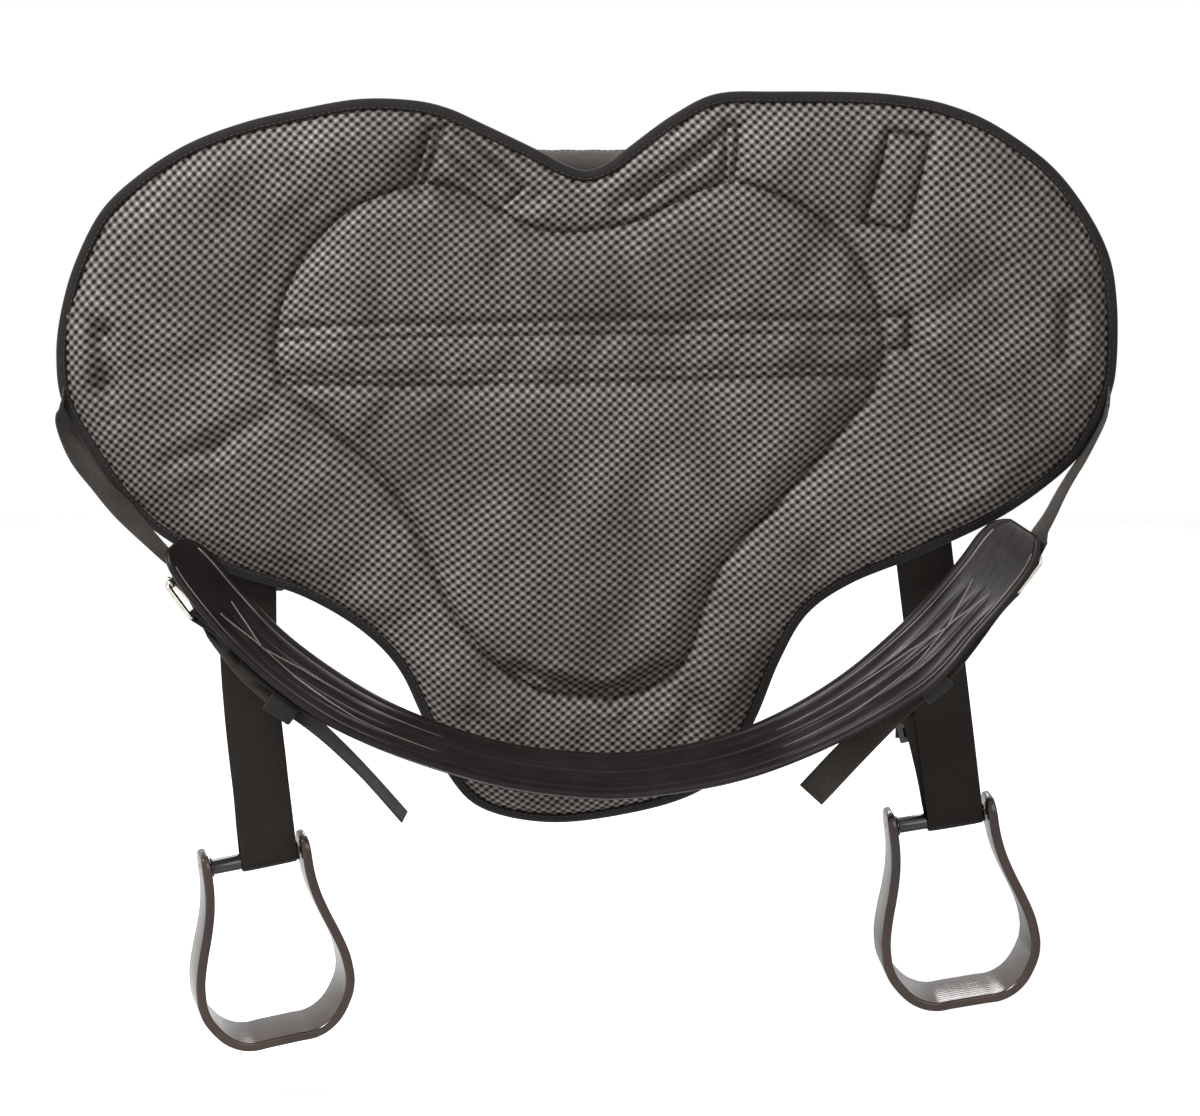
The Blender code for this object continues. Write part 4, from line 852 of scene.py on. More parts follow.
def brushed_suede():
    """Short nap that lightens where it is brushed."""
    made, tree, shader = new_finish("brushed suede", 0.95, Sheen_Weight=0.6, Sheen_Roughness=0.35)
    solid = solid_place(tree)
    nap = clouds(tree, solid, 0.9 * millimetre, 4.0, 0.7)
    brushed = clouds(tree, solid, 0.035, 3.0, 0.6)
    colour = ramp(tree, brushed, ((0.30, "#2b2421"), (0.52, "#3d3430"), (0.72, "#52473f")))
    linked(tree, shader, Base_Color=shaded(tree, colour, nap, ((0.35, "#a5a09c"), (0.65, "#ffffff"))))
    bumped(tree, shader, nap, 0.3 * millimetre, 0.5)
    return made


def wool_felt():
    """Matted grey fibres."""
    made, tree, shader = new_finish("wool felt", 1.0)
    solid = solid_place(tree)
    fibres = clouds(tree, solid, 1.5 * millimetre, 4.0, 0.7)
    linked(tree, shader, Base_Color=ramp(tree, fibres, ((0.3, "#4a4744"), (0.7, "#6d6965"))))
    bumped(tree, shader, fibres, 0.4 * millimetre)
    return made


cloth_finish = pack_cloth()
suede_finish = brushed_suede()
felt_finish = wool_felt()
print("finishes:", cloth_finish.name, suede_finish.name, felt_finish.name)

# %% Make the inner and rear layers
cover_thickness = 2.2 * millimetre
panel_rise = 1.6 * millimetre
layer_step = 4 * millimetre


def layer_net(loop, step, shy):
    """An even net of points inside a loop, with its border points drawn onto the loop."""
    xs = np.arange(loop[:, 0].min(), loop[:, 0].max() + step, step)
    zs = np.arange(loop[:, 1].min(), loop[:, 1].max() + step, step)
    x, z = np.meshgrid(xs, zs, indexing="ij")
    flat = np.stack([x.ravel(), z.ravel()], axis=1)
    keep = inside(flat, loop) & (distance_to(flat, loop) > shy)
    faces = whole_squares(keep.reshape(x.shape))
    used, index = np.unique(faces, return_inverse=True)
    return flat[used], index.reshape(faces.shape)


def closed_layer(name, flat, faces, front, back, finish):
    """A closed sheet between two depths over a net of points."""
    points = np.vstack([np.stack([flat[:, 0], front, flat[:, 1]], axis=1),
                        np.stack([flat[:, 0], back, flat[:, 1]], axis=1)])
    made = piece(name, points, closed_sheet(faces, len(flat)), finish, sharp=60)
    return made


flat, faces = layer_net(outline, layer_step, 2.5 * millimetre)
horse_now, seat_now = horse_depth(flat), seat_depth(flat)
inner = closed_layer("felt_core", flat, faces, horse_now + 1.6 * cover_thickness,
                     np.maximum(seat_now - cover_thickness, horse_now + 1.8 * cover_thickness),
                     felt_finish)
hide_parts("foam_core")
seat_cover = closed_layer("pack_cloth_cover", flat, faces, seat_now - cover_thickness * 0.8, seat_now,
                          cloth_finish)
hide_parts("seat_cover")
panel_flat, panel_faces = layer_net(seam, layer_step, 1.0 * millimetre)
panel_seat = seat_depth(panel_flat)
to_hem = np.clip(distance_to(panel_flat, seam) / (5 * millimetre), 0.0, 1.0)
panel = closed_layer("suede_panel", panel_flat, panel_faces, panel_seat + 0.3 * millimetre,
                     panel_seat + 0.5 * millimetre + panel_rise * np.sqrt(to_hem), suede_finish)
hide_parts("seat_panel")
print("layers:", [len(item.data.polygons) for item in (inner, seat_cover, panel)], "faces")

# %% [markdown]
# ## The bound edge
# A folded tape is sewn over the raw edges of all the layers. It is a ribbed polyester tape, black
# with a brown cast, and it puckers a little where it turns. It is swept round the outline with a
# rounded section, and the ribs run across it.

# %% Finish: ribbed tape and webbings
def webbing(name, dark, light, rib, rough=0.78):
    """Woven tape: ribs across its run, paler tops and a soft sheen, from its own run coordinates."""
    made, tree, shader = new_finish(name, rough, Sheen_Weight=0.08, Sheen_Roughness=0.45,
                                    Specular_IOR_Level=0.25)
    parts = split(tree, run_place(tree))
    ribs = ripples(tree, parts[1], rib)
    rows = ripples(tree, parts[0], 2.4 * millimetre)
    both = maths(tree, "ADD", ribs, maths(tree, "MULTIPLY", ribs, rows))
    weave = maths(tree, "MULTIPLY_ADD", both, 0.25, 0.5)
    solid = solid_place(tree)
    fade = clouds(tree, solid, 0.05, 3.0, 0.6)
    lint = clouds(tree, solid, 0.8 * millimetre, 3.0, 0.7)
    colour = mixed(tree, weave, linear(dark), linear(light))
    colour = shaded(tree, colour, fade, ((0.28, "#b4aeaa"), (0.72, "#ffffff")))
    linked(tree, shader, Base_Color=shaded(tree, colour, lint, ((0.34, "#c4beba"), (0.60, "#ffffff"))))
    fuzz = bumped(tree, shader, lint, 0.15 * millimetre, 0.5)
    bumped(tree, shader, weave, 0.35 * millimetre, 0.8, fuzz)
    return made


tape_finish = webbing("ribbed polyester tape", "#14100f", "#2b2425", 1.9 * millimetre)
strap_finish = webbing("polypropylene webbing", "#16110d", "#2d251f", 2.1 * millimetre)
web_finish = webbing("nylon webbing", "#110f0d", "#262220", 1.9 * millimetre)
billet_finish = webbing("cotton billet webbing", "#2b2624", "#65605b", 2.3 * millimetre, 0.85)
print("rib pitches from 1.9 to 2.3 mm")

# %% Sweep the bound edge
tape_step = 3 * millimetre
tape_ease = 0.3 * millimetre
# The tape's section: shares of its width, outwards from the edge, and of its half thickness, to the rider.
tape_section = (
    (-0.82, -0.80), (-0.80, -0.98), (-0.64, -1.06), (-0.40, -1.05), (-0.15, -0.92), (0.0, -0.62),
    (0.07, -0.25), (0.07, 0.25), (0.0, 0.62), (-0.15, 0.92), (-0.45, 1.05), (-0.8, 1.06),
    (-1.0, 0.98), (-1.02, 0.80), (-0.8, 0.70), (-0.62, -0.70),
)
tape_half = edge_half_thickness + tape_ease + binding_thickness


def bound_edge():
    """The folded tape round the pad, with a rounded nose and a slight pucker."""
    rim = evenly(curve_through(from_shares(outline_shares), True, 8), True, tape_step)
    run = unit(np.roll(rim, -1, axis=0) - np.roll(rim, 1, axis=0))
    outward = np.stack([run[:, 1], -run[:, 0]], axis=1)
    if inside((rim + outward * 4 * tape_step)[:1], outline)[0]:
        outward = -outward
    middle = pad_middle(rim)
    lean = pad_middle(rim + outward * binding_width) - middle
    place = np.arange(len(rim)) * tape_step
    pucker = 0.30 * np.sin(place * 410.0) * np.sin(place * 93.0 + 1.0) + 0.25 * np.sin(place * 171.0)
    points, coordinates = [], []
    section_run = lengths_along(np.array(tape_section) * (binding_width, tape_half))
    for k, (spot, out) in enumerate(zip(rim, outward)):
        swell = 1.0 + 0.05 * pucker[k]
        for (outer, deep), across in zip(tape_section, section_run):
            reach = outer * binding_width * (1.0 + 0.03 * pucker[k - 3])
            points.append((spot[0] + out[0] * reach, middle[k] + lean[k] * outer + deep * tape_half * swell,
                           spot[1] + out[1] * reach))
            coordinates.append((across, place[k]))
    faces = swept_faces(len(rim), len(tape_section), True)
    made = piece("bound_edge", points, faces, tape_finish, coordinates=coordinates)
    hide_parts("edge_binding")
    print("bound edge:", round(len(rim) * tape_step, 2), "m of tape")


bound_edge()

# %% [markdown]
# ## Reading the straps' paths
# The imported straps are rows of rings. Walking from one end cap to the other, ring by ring, gives
# each strap's centre line and the direction of its width. The dressed straps are swept along these
# same lines, so they sit where the solids sit, with a finer section and coordinates for their weave.

# %% Walk the rings of a packed band
band_corners = 8
liner_corners = 13


def welded(node):
    """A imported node's mesh with its doubled points joined."""
    bm = bmesh.new()
    bm.from_mesh(frame["nodes"][node].data)
    bmesh.ops.remove_doubles(bm, verts=bm.verts, dist=1e-6)
    return bm


def rings_of(node, start, corners=band_corners):
    """Centres, width directions and half widths of a band's rings, from the end nearest a point."""
    bm = welded(node)
    bm.normal_update()
    todo = set(bm.faces)
    best = None
    for seed in list(bm.faces):
        if seed not in todo:
            continue
        todo.discard(seed)
        group, stack = [seed], [seed]
        while stack:
            for edge in stack.pop().edges:
                for face in edge.link_faces:
                    if face in todo and face.normal.dot(seed.normal) > 0.99999:
                        todo.discard(face)
                        group.append(face)
                        stack.append(face)
        cap = {vertex for face in group for vertex in face.verts}
        if len(cap) != corners or len(group) != corners - 2:
            continue
        seen, layer, layers = set(cap), set(cap), []
        while layer:
            layers.append(layer)
            layer = {edge.other_vert(v) for v in layer for edge in v.link_edges} - seen
            seen |= layer
        worst = np.mean([abs(len(one) - corners) for one in layers])
        if best is None or worst < best[0] - 0.001:
            best = (worst, layers)
    rows = []
    for layer in best[1]:
        if corners <= len(layer) <= corners + 1:
            # sorted, because a set's own order changes from run to run
            points = np.array(sorted(tuple(vertex.co) for vertex in layer))
            centre = points.mean(axis=0)
            if corners == band_corners:
                centre = (points.max(axis=0) + points.min(axis=0)) / 2
            wide = np.linalg.svd(points - points.mean(axis=0))[2][0]
            rows.append((centre, wide, np.abs((points - centre) @ wide).max()))
    bm.free()
    if np.linalg.norm(rows[0][0] - start) > np.linalg.norm(rows[-1][0] - start):
        rows = rows[::-1]
    turned = [rows[0]]
    for centre, wide, half in rows[1:]:
        turned.append((centre, wide if wide @ turned[-1][1] > 0.0 else -wide, half))
    return turned


def smooth_path(rows, step):
    """Even stations along a row of rings: centres, runs, width directions, normals and places."""
    knots = np.array([np.concatenate([centre, wide, [half]]) for centre, wide, half in rows])
    fine = evenly_by_place(curve_through(knots, False, 6), step)
    centres = fine[:, :3]
    run = unit(np.gradient(centres, axis=0))
    wide = unit(fine[:, 3:6] - run * (fine[:, 3:6] * run).sum(1)[:, None])
    place = lengths_along(centres)
    return centres, run, wide, np.cross(run, wide), fine[:, 6], place


def evenly_by_place(path, step):
    """Space a path evenly by the first three of its columns."""
    lengths = lengths_along(path[:, :3])
    places = np.linspace(0.0, lengths[-1], max(3, round(lengths[-1] / step) + 1))
    return np.stack([np.interp(places, lengths, path[:, k]) for k in range(path.shape[1])], axis=1)


cross_rows = rings_of("cross_strap", (-1.0, 0.0, 0.0))
print("cross strap has", len(cross_rows), "rings, from", np.round(cross_rows[0][0], 3))

# %% Make bands of webbing
band_columns = (-1.0, -0.985, -0.94, -0.72, -0.45, -0.17, 0.0, 0.17, 0.45, 0.72, 0.94, 0.985, 1.0)
wide_webbing = 0.050
web_thickness = 0.0024


def band(name, rows, width, thickness, finish, body, replaced=(), step=3 * millimetre, ripple=0.0):
    """A band of webbing with soft edges along a row of rings, and if asked a slight ripple."""
    centres, _, wide, out, _, place = smooth_path(rows, step)
    columns = np.array(band_columns)
    thin = thickness / 2 * np.sqrt(np.clip(1.04 - np.abs(columns) ** 14, 0.04, 1.0))
    wave = ripple * np.sin(place * 61.0)[:, None] * np.sin(place[:, None] * 23.0 + columns[None, :] * 1.3)
    grid = centres[:, None, :] + wide[:, None, :] * (columns * width / 2)[None, :, None]
    grid = grid + out[:, None, :] * wave[:, :, None]
    top = grid + out[:, None, :] * thin[None, :, None]
    low = grid - out[:, None, :] * thin[None, :, None]
    points = np.vstack([top.reshape(-1, 3), low.reshape(-1, 3)])
    squares = np.roll(whole_squares(np.ones(grid.shape[:2], bool))[:, ::-1], 1, axis=1)
    faces = closed_sheet(squares, len(points) // 2)
    across = np.tile(columns * width / 2, len(place))
    along = np.repeat(place, len(columns))
    coordinates = np.tile(np.stack([across, along], axis=1), (2, 1))
    made = piece(name, points, faces, finish, body=body, coordinates=coordinates, sharp=70)
    if replaced:
        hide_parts(*replaced)
    return made


cross_strap = band("cross_strap_webbing", cross_rows, wide_webbing, web_thickness, web_finish, "pad",
                   ("cross_strap",))
print("cross strap:", len(cross_strap.data.polygons), "faces")

# %% [markdown]
# ## Stirrup straps and billets
# Each stirrup strap is one length of 50 mm polypropylene webbing from its stitched box, down behind
# the flap, round the stirrup's sleeve and back up to its slide. It hangs free below the box, and the
# one piece is swept through the rings of both the box's part and the strap's. Each billet is one length
# of cotton webbing from under the cross strap, over the pad's edge and down through the buckle and
# the keeper, swept in the same way. Webbing is modelled directly, because a simulation would have to
# remesh it and its thin edges would go.

# %% Sweep the stirrup straps and billets
def joined(first, second):
    """The rings of two bands in one row."""
    out = list(first)
    for centre, wide, half in second:
        out.append((centre, wide if wide @ out[-1][1] > 0.0 else -wide, half))
    return out


strap_thickness = 0.0021
strap_ripple = 0.0003
billet_width, billet_thickness = 0.026, 0.0020
billet_turn = (0.4440, -0.0585, -0.1800)


def hanging_strap(word):
    """A stirrup strap in one piece, from its box to its slide."""
    hinge = joint_place["stirrup_strap_%s_swing" % word]
    above = hinge + Vector((0.0, 0.0, 0.2))
    anchor = rings_of("stirrup_anchor_" + word, np.array(above))
    free = rings_of("stirrup_strap_" + word, np.array(hinge))
    made = band("stirrup_webbing_" + word, joined(anchor, free[1:]), wide_webbing, strap_thickness,
                strap_finish, None,
                ("stirrup_anchor_" + word, "stirrup_strap_" + word), ripple=strap_ripple)
    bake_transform(made)
    return made


# Height, inward shift in millimetres and degrees of twist, from the flap's edge to the end of the tail.
billet_hang = {
    "left": ((-0.19, 6.0, 0.0), (-0.27, 6.5, 12.0), (-0.31, 5.0, 50.0), (-0.335, 3.0, 68.0),
             (-0.365, 1.0, 55.0), (-0.40, 0.0, 10.0), (-0.44, 0.0, 0.0), (-0.475, 0.0, 42.0),
             (-0.505, 0.0, 60.0), (-0.63, 0.0, 62.0)),
    "right": ((-0.19, 8.0, 62.0), (-0.21, 4.5, 60.0), (-0.24, 0.0, 56.0), (-0.28, -4.0, 50.0),
              (-0.34, -4.0, 22.0), (-0.40, 0.0, 0.0), (-0.63, 0.0, 0.0)),
}


def billet(word):
    """A billet from under the cross strap, over the edge and down, turned as its table says."""
    side = -1.0 if word == "left" else 1.0
    anchor = rings_of("billet_anchor_" + word, np.array((0.0, -0.05, -0.177)))
    free = rings_of("billet_" + word, np.array(anchor[-1][0]))
    heights, shifts, turns = np.array(billet_hang[word]).T
    snug = []
    for centre, wide, half in free:
        inward, turned = (np.interp(-centre[2], -heights, column) for column in (shifts, turns))
        lean = math.copysign(math.sin(math.radians(turned)), wide[1])
        across = np.array(wide) * math.cos(math.radians(turned)) + np.array((0.0, 0.99, -0.1)) * lean
        moved = centre + np.array((-side, 0.0, 0.1)) * inward * millimetre
        snug.append((moved, across / np.linalg.norm(across), half))
    turn = np.array(billet_turn) * (side, 1.0, 1.0)
    rows = joined(anchor[:-2], [(turn, np.array((0.0, -0.45, 0.89)), billet_width / 2)])
    made = band("billet_webbing_" + word, joined(rows, snug), billet_width, billet_thickness, billet_finish,
                None, ("billet_anchor_" + word, "billet_" + word), step=2 * millimetre)
    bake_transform(made)
    return made


straps = [hanging_strap(word) for word in ("left", "right")]
billets = [billet(word) for word in ("left", "right")]
print("straps and billets:", [item.name for item in straps + billets])

# %% [markdown]
# ## The padded girth
# The girth's horse side is a smooth nitrile-faced neoprene, dark and a little shiny, over a felt
# strip. Channels along it leave soft ribs between them. Thin welts run along its rims and cross near
# each end, coloured pale as a painted highlight for the light that catches them there. Its back is
# webbing. The skin is swept along the packed liner's rings.

# %% Finish: nitrile-faced neoprene
def nitrile_neoprene(name, dark, light, worn):
    """Smooth coated neoprene with long scuffs along the run."""
    made, tree, shader = new_finish(name, 0.62, Specular_IOR_Level=0.13)
    solid = solid_place(tree)
    grain = clouds(tree, solid, 1.3 * millimetre, 3.0, 0.65)
    scuffs = clouds(tree, drawn_out(tree, run_place(tree), 0.16), 4 * millimetre, 4.0, 0.6)
    broad = clouds(tree, solid, 0.045, 3.0)
    colour = ramp(tree, broad, ((0.3, dark), (0.7, light)))
    colour = mixed(tree, ramp(tree, scuffs, ((0.60, "#000000"), (0.78, "#5a5a5a"))), colour, linear(worn))
    linked(tree, shader, Base_Color=colour,
           Roughness=ramp(tree, scuffs, ((0.30, "#858585"), (0.75, "#b4b4b4"))))
    fine = bumped(tree, shader, grain, 0.10 * millimetre, 0.6)
    bumped(tree, shader, scuffs, 0.35 * millimetre, 0.5, fine)
    return made


liner_finish = nitrile_neoprene("nitrile-faced neoprene", "#1b1716", "#272221", "#4b4543")
# the welts are coloured pale: a painted highlight for the light that catches their edges
welt_highlight_finish = nitrile_neoprene("neoprene welt with painted highlight", "#5e5856", "#8b8482", "#a9a29f")
print("girth skin:", liner_finish.name, "and", welt_highlight_finish.name)

# %% Helper: a round roll along a path
def round_sweep(name, centres, radii, finish, body, sides=32):
    """A round roll along a path, closed at its ends, with run coordinates."""
    centres = np.asarray(centres, float)
    run = unit(np.gradient(centres, axis=0))
    place = lengths_along(centres)
    points, coordinates = [], []
    for centre, direction, radius, along in zip(centres, run, radii, place):
        one = np.array((0.0, 0.0, 1.0)) - direction * direction[2]
        one /= np.linalg.norm(one)
        two = np.cross(direction, one)
        for k in range(sides):
            angle = 2 * math.pi * k / sides
            points.append(centre + (one * math.cos(angle) + two * math.sin(angle)) * radius)
            coordinates.append((radius * 2 * math.pi * k / sides, along))
    faces = swept_faces(len(centres), sides)
    made = piece(name, points, faces, finish, body=body, coordinates=coordinates)
    return made


# %% Girth shape across its width
liner_thickness = 0.0090
girth_channels = (-1.0, -0.74, -0.36, 0.0, 0.36, 0.74, 1.0)
girth_top = np.array((-0.34, -0.1, -0.31))
girth_step = 2.5 * millimetre
# Each end is flat between its rims as far as flat_end, and its ribs are full after flat_end_fade.
flat_end, flat_end_fade, flat_crown = 0.055, 0.040, 0.45
# How far the outer edge is taken in at each end, and over what length it comes back.
taken_in_left, taken_in_right = (0.30, 0.130), (0.24, 0.070)
taken_in_end = 0.09
bent_end = 0.085
# Shares of the half thickness: the horse side's base, rounded edge and ribs, and the back's.
skin_base, skin_edge, skin_rib = 0.22, 0.30, 0.46
back_base, back_edge = 0.42, 0.78
end_bend = np.array((-0.0080, 0.0, 0.0060))


def rib_crown(share):
    """Height across one rib of the girth, from 0 in a channel to 1 on its crown."""
    k = int(np.clip(np.searchsorted(girth_channels, share) - 1, 0, len(girth_channels) - 2))
    low, high = girth_channels[k], girth_channels[k + 1]
    return math.sqrt(max(0.0, 1.0 - abs((2 * share - low - high) / (high - low)) ** 2.4))


class Girth:
    """The girth's path, and places on its horse side."""

    def __init__(self):
        rows = rings_of("girth_liner", girth_top, liner_corners)
        self.centres, _, self.wide, self.out, self.halves, self.place = smooth_path(rows, girth_step)
        middle = len(self.place) // 2
        if self.out[middle][2] > 0.0:
            self.out = -self.out
        down = self.centres[middle] - np.array((0.0, -0.1, -0.2))
        self.outer = 1.0 if down @ self.wide[middle] > 0 else -1.0
        self.length = self.place[-1]

    def half_thickness(self, k):
        """Half the thickness at a station, less where the girth is narrower."""
        return liner_thickness / 2 * np.sqrt(np.clip(self.halves[k] / self.halves.max(), 0.05, 1.0))

    def at(self, place, share, lift=0.0):
        """A place on the horse side, by length along the girth and share across it."""
        k = int(np.clip(round(place / self.length * (len(self.place) - 1)), 0, len(self.place) - 1))
        to_end = min(self.place[k], self.length - self.place[k])
        calm = smooth((to_end - flat_end) / flat_end_fade)
        taken, taken_fade = taken_in_left if self.place[k] < self.length / 2 else taken_in_right
        taken = taken * (1.0 - smooth((to_end - taken_in_end) / taken_fade)) * (share * self.outer > 0)
        reach = share * self.halves[k] * (1.0 - taken)
        crown = rib_crown(share)
        if abs(share) <= girth_channels[-2]:
            crown = crown * calm + flat_crown * (1.0 - calm)
        edge = math.sqrt(max(0.0, 1.0 - abs(share) ** 8))
        tall = self.half_thickness(k) * (skin_base + skin_edge * edge + skin_rib * crown)
        bent = end_bend * smooth((bent_end - self.place[k]) / bent_end)
        return self.centres[k] + self.wide[k] * reach - self.out[k] * (tall + lift) + bent

    def skin(self):
        """The padded skin, with lengthwise ribs and a rolled rim on the horse side."""
        front = np.sin(np.linspace(-1.0, 1.0, 73) * math.pi / 2)
        back = np.linspace(1.0, -1.0, 13)[1:-1]
        points, coordinates = [], []
        for k, place in enumerate(self.place):
            for share in front:
                points.append(self.at(place, share))
                coordinates.append((share * self.halves[k], place))
            ends = self.at(place, 1.0), self.at(place, -1.0)
            for share in back:
                edge = math.sqrt(max(0.0, 1.0 - abs(share) ** 10))
                flat = ends[0] * (1 + share) / 2 + ends[1] * (1 - share) / 2
                points.append(flat + self.out[k] * self.half_thickness(k) * (back_base + back_edge * edge))
                coordinates.append((2 * self.halves[k] - share * self.halves[k], place))
        faces = swept_faces(len(self.place), len(front) + len(back))
        made = piece("girth_skin", points, faces, liner_finish, body="girth", coordinates=coordinates)
        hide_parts("girth_liner")
        print("girth skin:", round(self.length, 3), "m long,", len(faces), "faces")


print("the girth has", len(girth_channels) - 1, "ribs")

# %% Sweep the girth and its welts
welt_ends = (0.016, 0.05)
# Places along the girth and shares across it, from one end to where the welt runs straight.
welt_arm = ((0.062, -0.34), (0.100, -0.04), (0.145, 0.20), (0.210, 0.34), (0.300, 0.36))
welt_thin, welt_fuller = 0.35 * millimetre, 0.40 * millimetre
welt_taper_end, welt_taper = 0.34, 0.16
welt_lift = 0.1 * millimetre


def welt_lines(length):
    """Raised lines on the girth: two along its rims, and two that cross near each end."""
    rim = [(place, girth_channels[-2]) for place in welt_ends]
    halves = [[(place, share * side) for place, share in line]
              for line in (rim, welt_arm) for side in (-1.0, 1.0)]
    return [half + [(length / 2, half[-1][1])] + [(length - place, share) for place, share in half[::-1]]
            for half in halves]


girth = Girth()
girth.skin()
# each welt carries the pale finish, a painted highlight line
for number, line in enumerate(welt_lines(girth.length)):
    spots = evenly_by_place(np.array([(place, reach, 0.0) for place, reach in line]), 4 * millimetre)
    path = np.array([girth.at(place, reach, welt_lift) for place, reach, _ in spots])
    to_end = np.minimum(spots[:, 0], girth.length - spots[:, 0])
    radii = welt_thin + welt_fuller * smooth((welt_taper_end - to_end) / welt_taper)
    round_sweep("girth_welt_%d" % number, path, radii, welt_highlight_finish, "girth", sides=8)
band("girth_back_webbing", rings_of("girth_backing", girth_top), wide_webbing, web_thickness, web_finish,
     "girth", ("girth_backing",))

# %% [markdown]
# ## Sewing
# Rows of lock stitch hold all of this together. A stitch is about 4 mm long and 0.9 mm thick, in
# black bonded nylon. Each one is a small spindle laid on the cloth, and one helper lays a row along
# any line that it is given.

# %% Finish and helper: lock stitch
stitch_length = 4.0 * millimetre
stitch_gap = 1.3 * millimetre
thread_radius = 0.45 * millimetre
thread_sides = 6
# The spindle's places along it and its fullness there, as shares of the stitch.
spindle = ((-0.5, 0.25), (-0.38, 0.85), (0.0, 1.0), (0.38, 0.85), (0.5, 0.25))
to_horse, to_rider = (0.0, -1.0, 0.0), (0.0, 1.0, 0.0)


def bonded_thread():
    """Black twisted thread."""
    made, tree, shader = new_finish("bonded nylon thread", 0.45)
    solid = solid_place(tree)
    twist = clouds(tree, solid, 0.7 * millimetre, 2.0)
    linked(tree, shader, Base_Color=ramp(tree, twist, ((0.3, "#0e0c0b"), (0.7, "#2e2a28"))))
    bumped(tree, shader, twist, 0.1 * millimetre, 0.6)
    return made


thread_finish = bonded_thread()


def stitches(name, lines, normals, body):
    """Small spindles along lines of places, each raised a little along its normal."""
    points, faces = [], []
    pitch = stitch_length + stitch_gap
    pattern = swept_faces(len(spindle), thread_sides)
    for line, normal in zip(lines, normals):
        line = np.asarray(line, float)
        lengths = lengths_along(line)
        for place in np.arange(pitch / 2, lengths[-1], pitch):
            here, before, after = (np.array([np.interp(min(max(p, 0.0), lengths[-1]), lengths, line[:, k])
                                             for k in range(3)])
                                   for p in (place, place - pitch / 4, place + pitch / 4))
            run = after - before
            run /= np.linalg.norm(run)
            up = np.array(normal) - run * (np.array(normal) @ run)
            up /= np.linalg.norm(up)
            side = np.cross(run, up)
            first = len(points)
            for along, swell in spindle:
                for k in range(thread_sides):
                    angle = 2 * math.pi * k / thread_sides
                    spoke = side * math.cos(angle) + up * math.sin(angle)
                    lift = up * thread_radius * (0.5 if abs(along) < 0.45 else -0.4)
                    points.append(here + run * along * stitch_length + lift + spoke * thread_radius * swell)
            faces += [tuple(first + corner for corner in face) for face in pattern]
    made = piece(name, points, faces, thread_finish, body=body)
    print(name, len(faces) // len(pattern), "stitches")


def on_face(line, depth, spacing=2 * millimetre):
    """Lay a line of X and Z places on one face of the pad."""
    path = evenly(np.asarray(line, float), False, spacing)
    return np.stack([path[:, 0], depth(path), path[:, 1]], axis=1)


def crossed_box(start, end):
    """The needle's turns round a box with a cross: places along the band and its sides."""
    return (start, -1), (end, -1), (end, 1), (start, 1), (start, -1), (end, 1), (start, 1), (end, -1)


def looped(line):
    """The line with its first place again at its end."""
    return np.vstack([line, line[:1]])


print("a stitch every", round((stitch_length + stitch_gap) * 1000, 1), "mm")


# %% Sew the pad
binding_row, binding_row_step = 0.64, 0.009
suede_margin = 4.5 * millimetre


def inset(loop, distance):
    """A loop drawn in by a distance."""
    along = unit(np.roll(loop, -1, axis=0) - np.roll(loop, 1, axis=0))
    normal = np.stack([-along[:, 1], along[:, 0]], axis=1)
    if not inside((loop + normal * distance)[:1], loop)[0]:
        normal = -normal
    return loop + normal * distance


binding_line = looped(inset(evenly(outline, True, binding_row_step), binding_width * binding_row))
horse_lines = [on_face(looped(seam), horse_depth)]
horse_lines += [on_face(in_metres(line), horse_depth) for line in band_lines]
horse_lines += [on_face(in_metres(box), horse_depth) for box in sewn_boxes]
stitches("horse_side_sewing", horse_lines, [to_horse] * len(horse_lines), "pad")


def on_tape(side):
    """The row of stitches along the bound edge, on one side."""
    path = evenly(binding_line, False, 2 * millimetre)
    return np.stack([path[:, 0], pad_middle(path) + side * tape_half * 1.06, path[:, 1]], axis=1)


stitches("bound_edge_sewing", [on_tape(-1), on_tape(1)], [to_horse, to_rider], "pad")
seat_line = on_face(looped(inset(seam, suede_margin)), seat_depth)
seat_line[:, 1] += 0.5 * millimetre + panel_rise * 0.95
stitches("suede_sewing", [seat_line], [to_rider], "pad")

# %% [markdown]
# ## The grab handle, its tabs and the dees
# The handle is a strip of webbing between two stitched tabs, with a padded roll of knitted cloth
# round it for the hand. Each dee hangs in a folded tab of the same webbing.

# %% Finish: knitted grip cover, and make the handle
def knitted_cover():
    """Fine knitting, wales along the run."""
    made, tree, shader = new_finish("knitted polyester cover", 0.85, Sheen_Weight=0.3)
    parts = split(tree, run_place(tree))
    wales, rows = ripples(tree, parts[0], 2.2 * millimetre), ripples(tree, parts[1], 1.7 * millimetre)
    knit = maths(tree, "MULTIPLY_ADD", maths(tree, "MULTIPLY", wales, rows), 0.5, 0.5)
    solid = solid_place(tree)
    tone = clouds(tree, solid, 0.03, 3.0)
    colour = mixed(tree, knit, linear("#3b3735"), linear("#6b6663"))
    linked(tree, shader, Base_Color=shaded(tree, colour, tone, ((0.3, "#b5b0ad"), (0.7, "#ffffff"))))
    bumped(tree, shader, knit, 0.4 * millimetre, 0.8)
    return made


grip_finish = knitted_cover()
grip_radius, grip_taper = 0.0110, 0.008
grip_end = 0.78
handle_width, handle_thickness = 0.015, 0.0026
grip_row = np.array((0.0, -0.30, 0.95))
tab_width, tab_thickness = 0.026, 0.0022
tab_box_start, tab_box_end, tab_box_half = 0.004, 0.030, 0.010
tab_lift = np.array((0.0, 0.0012, 0.0))


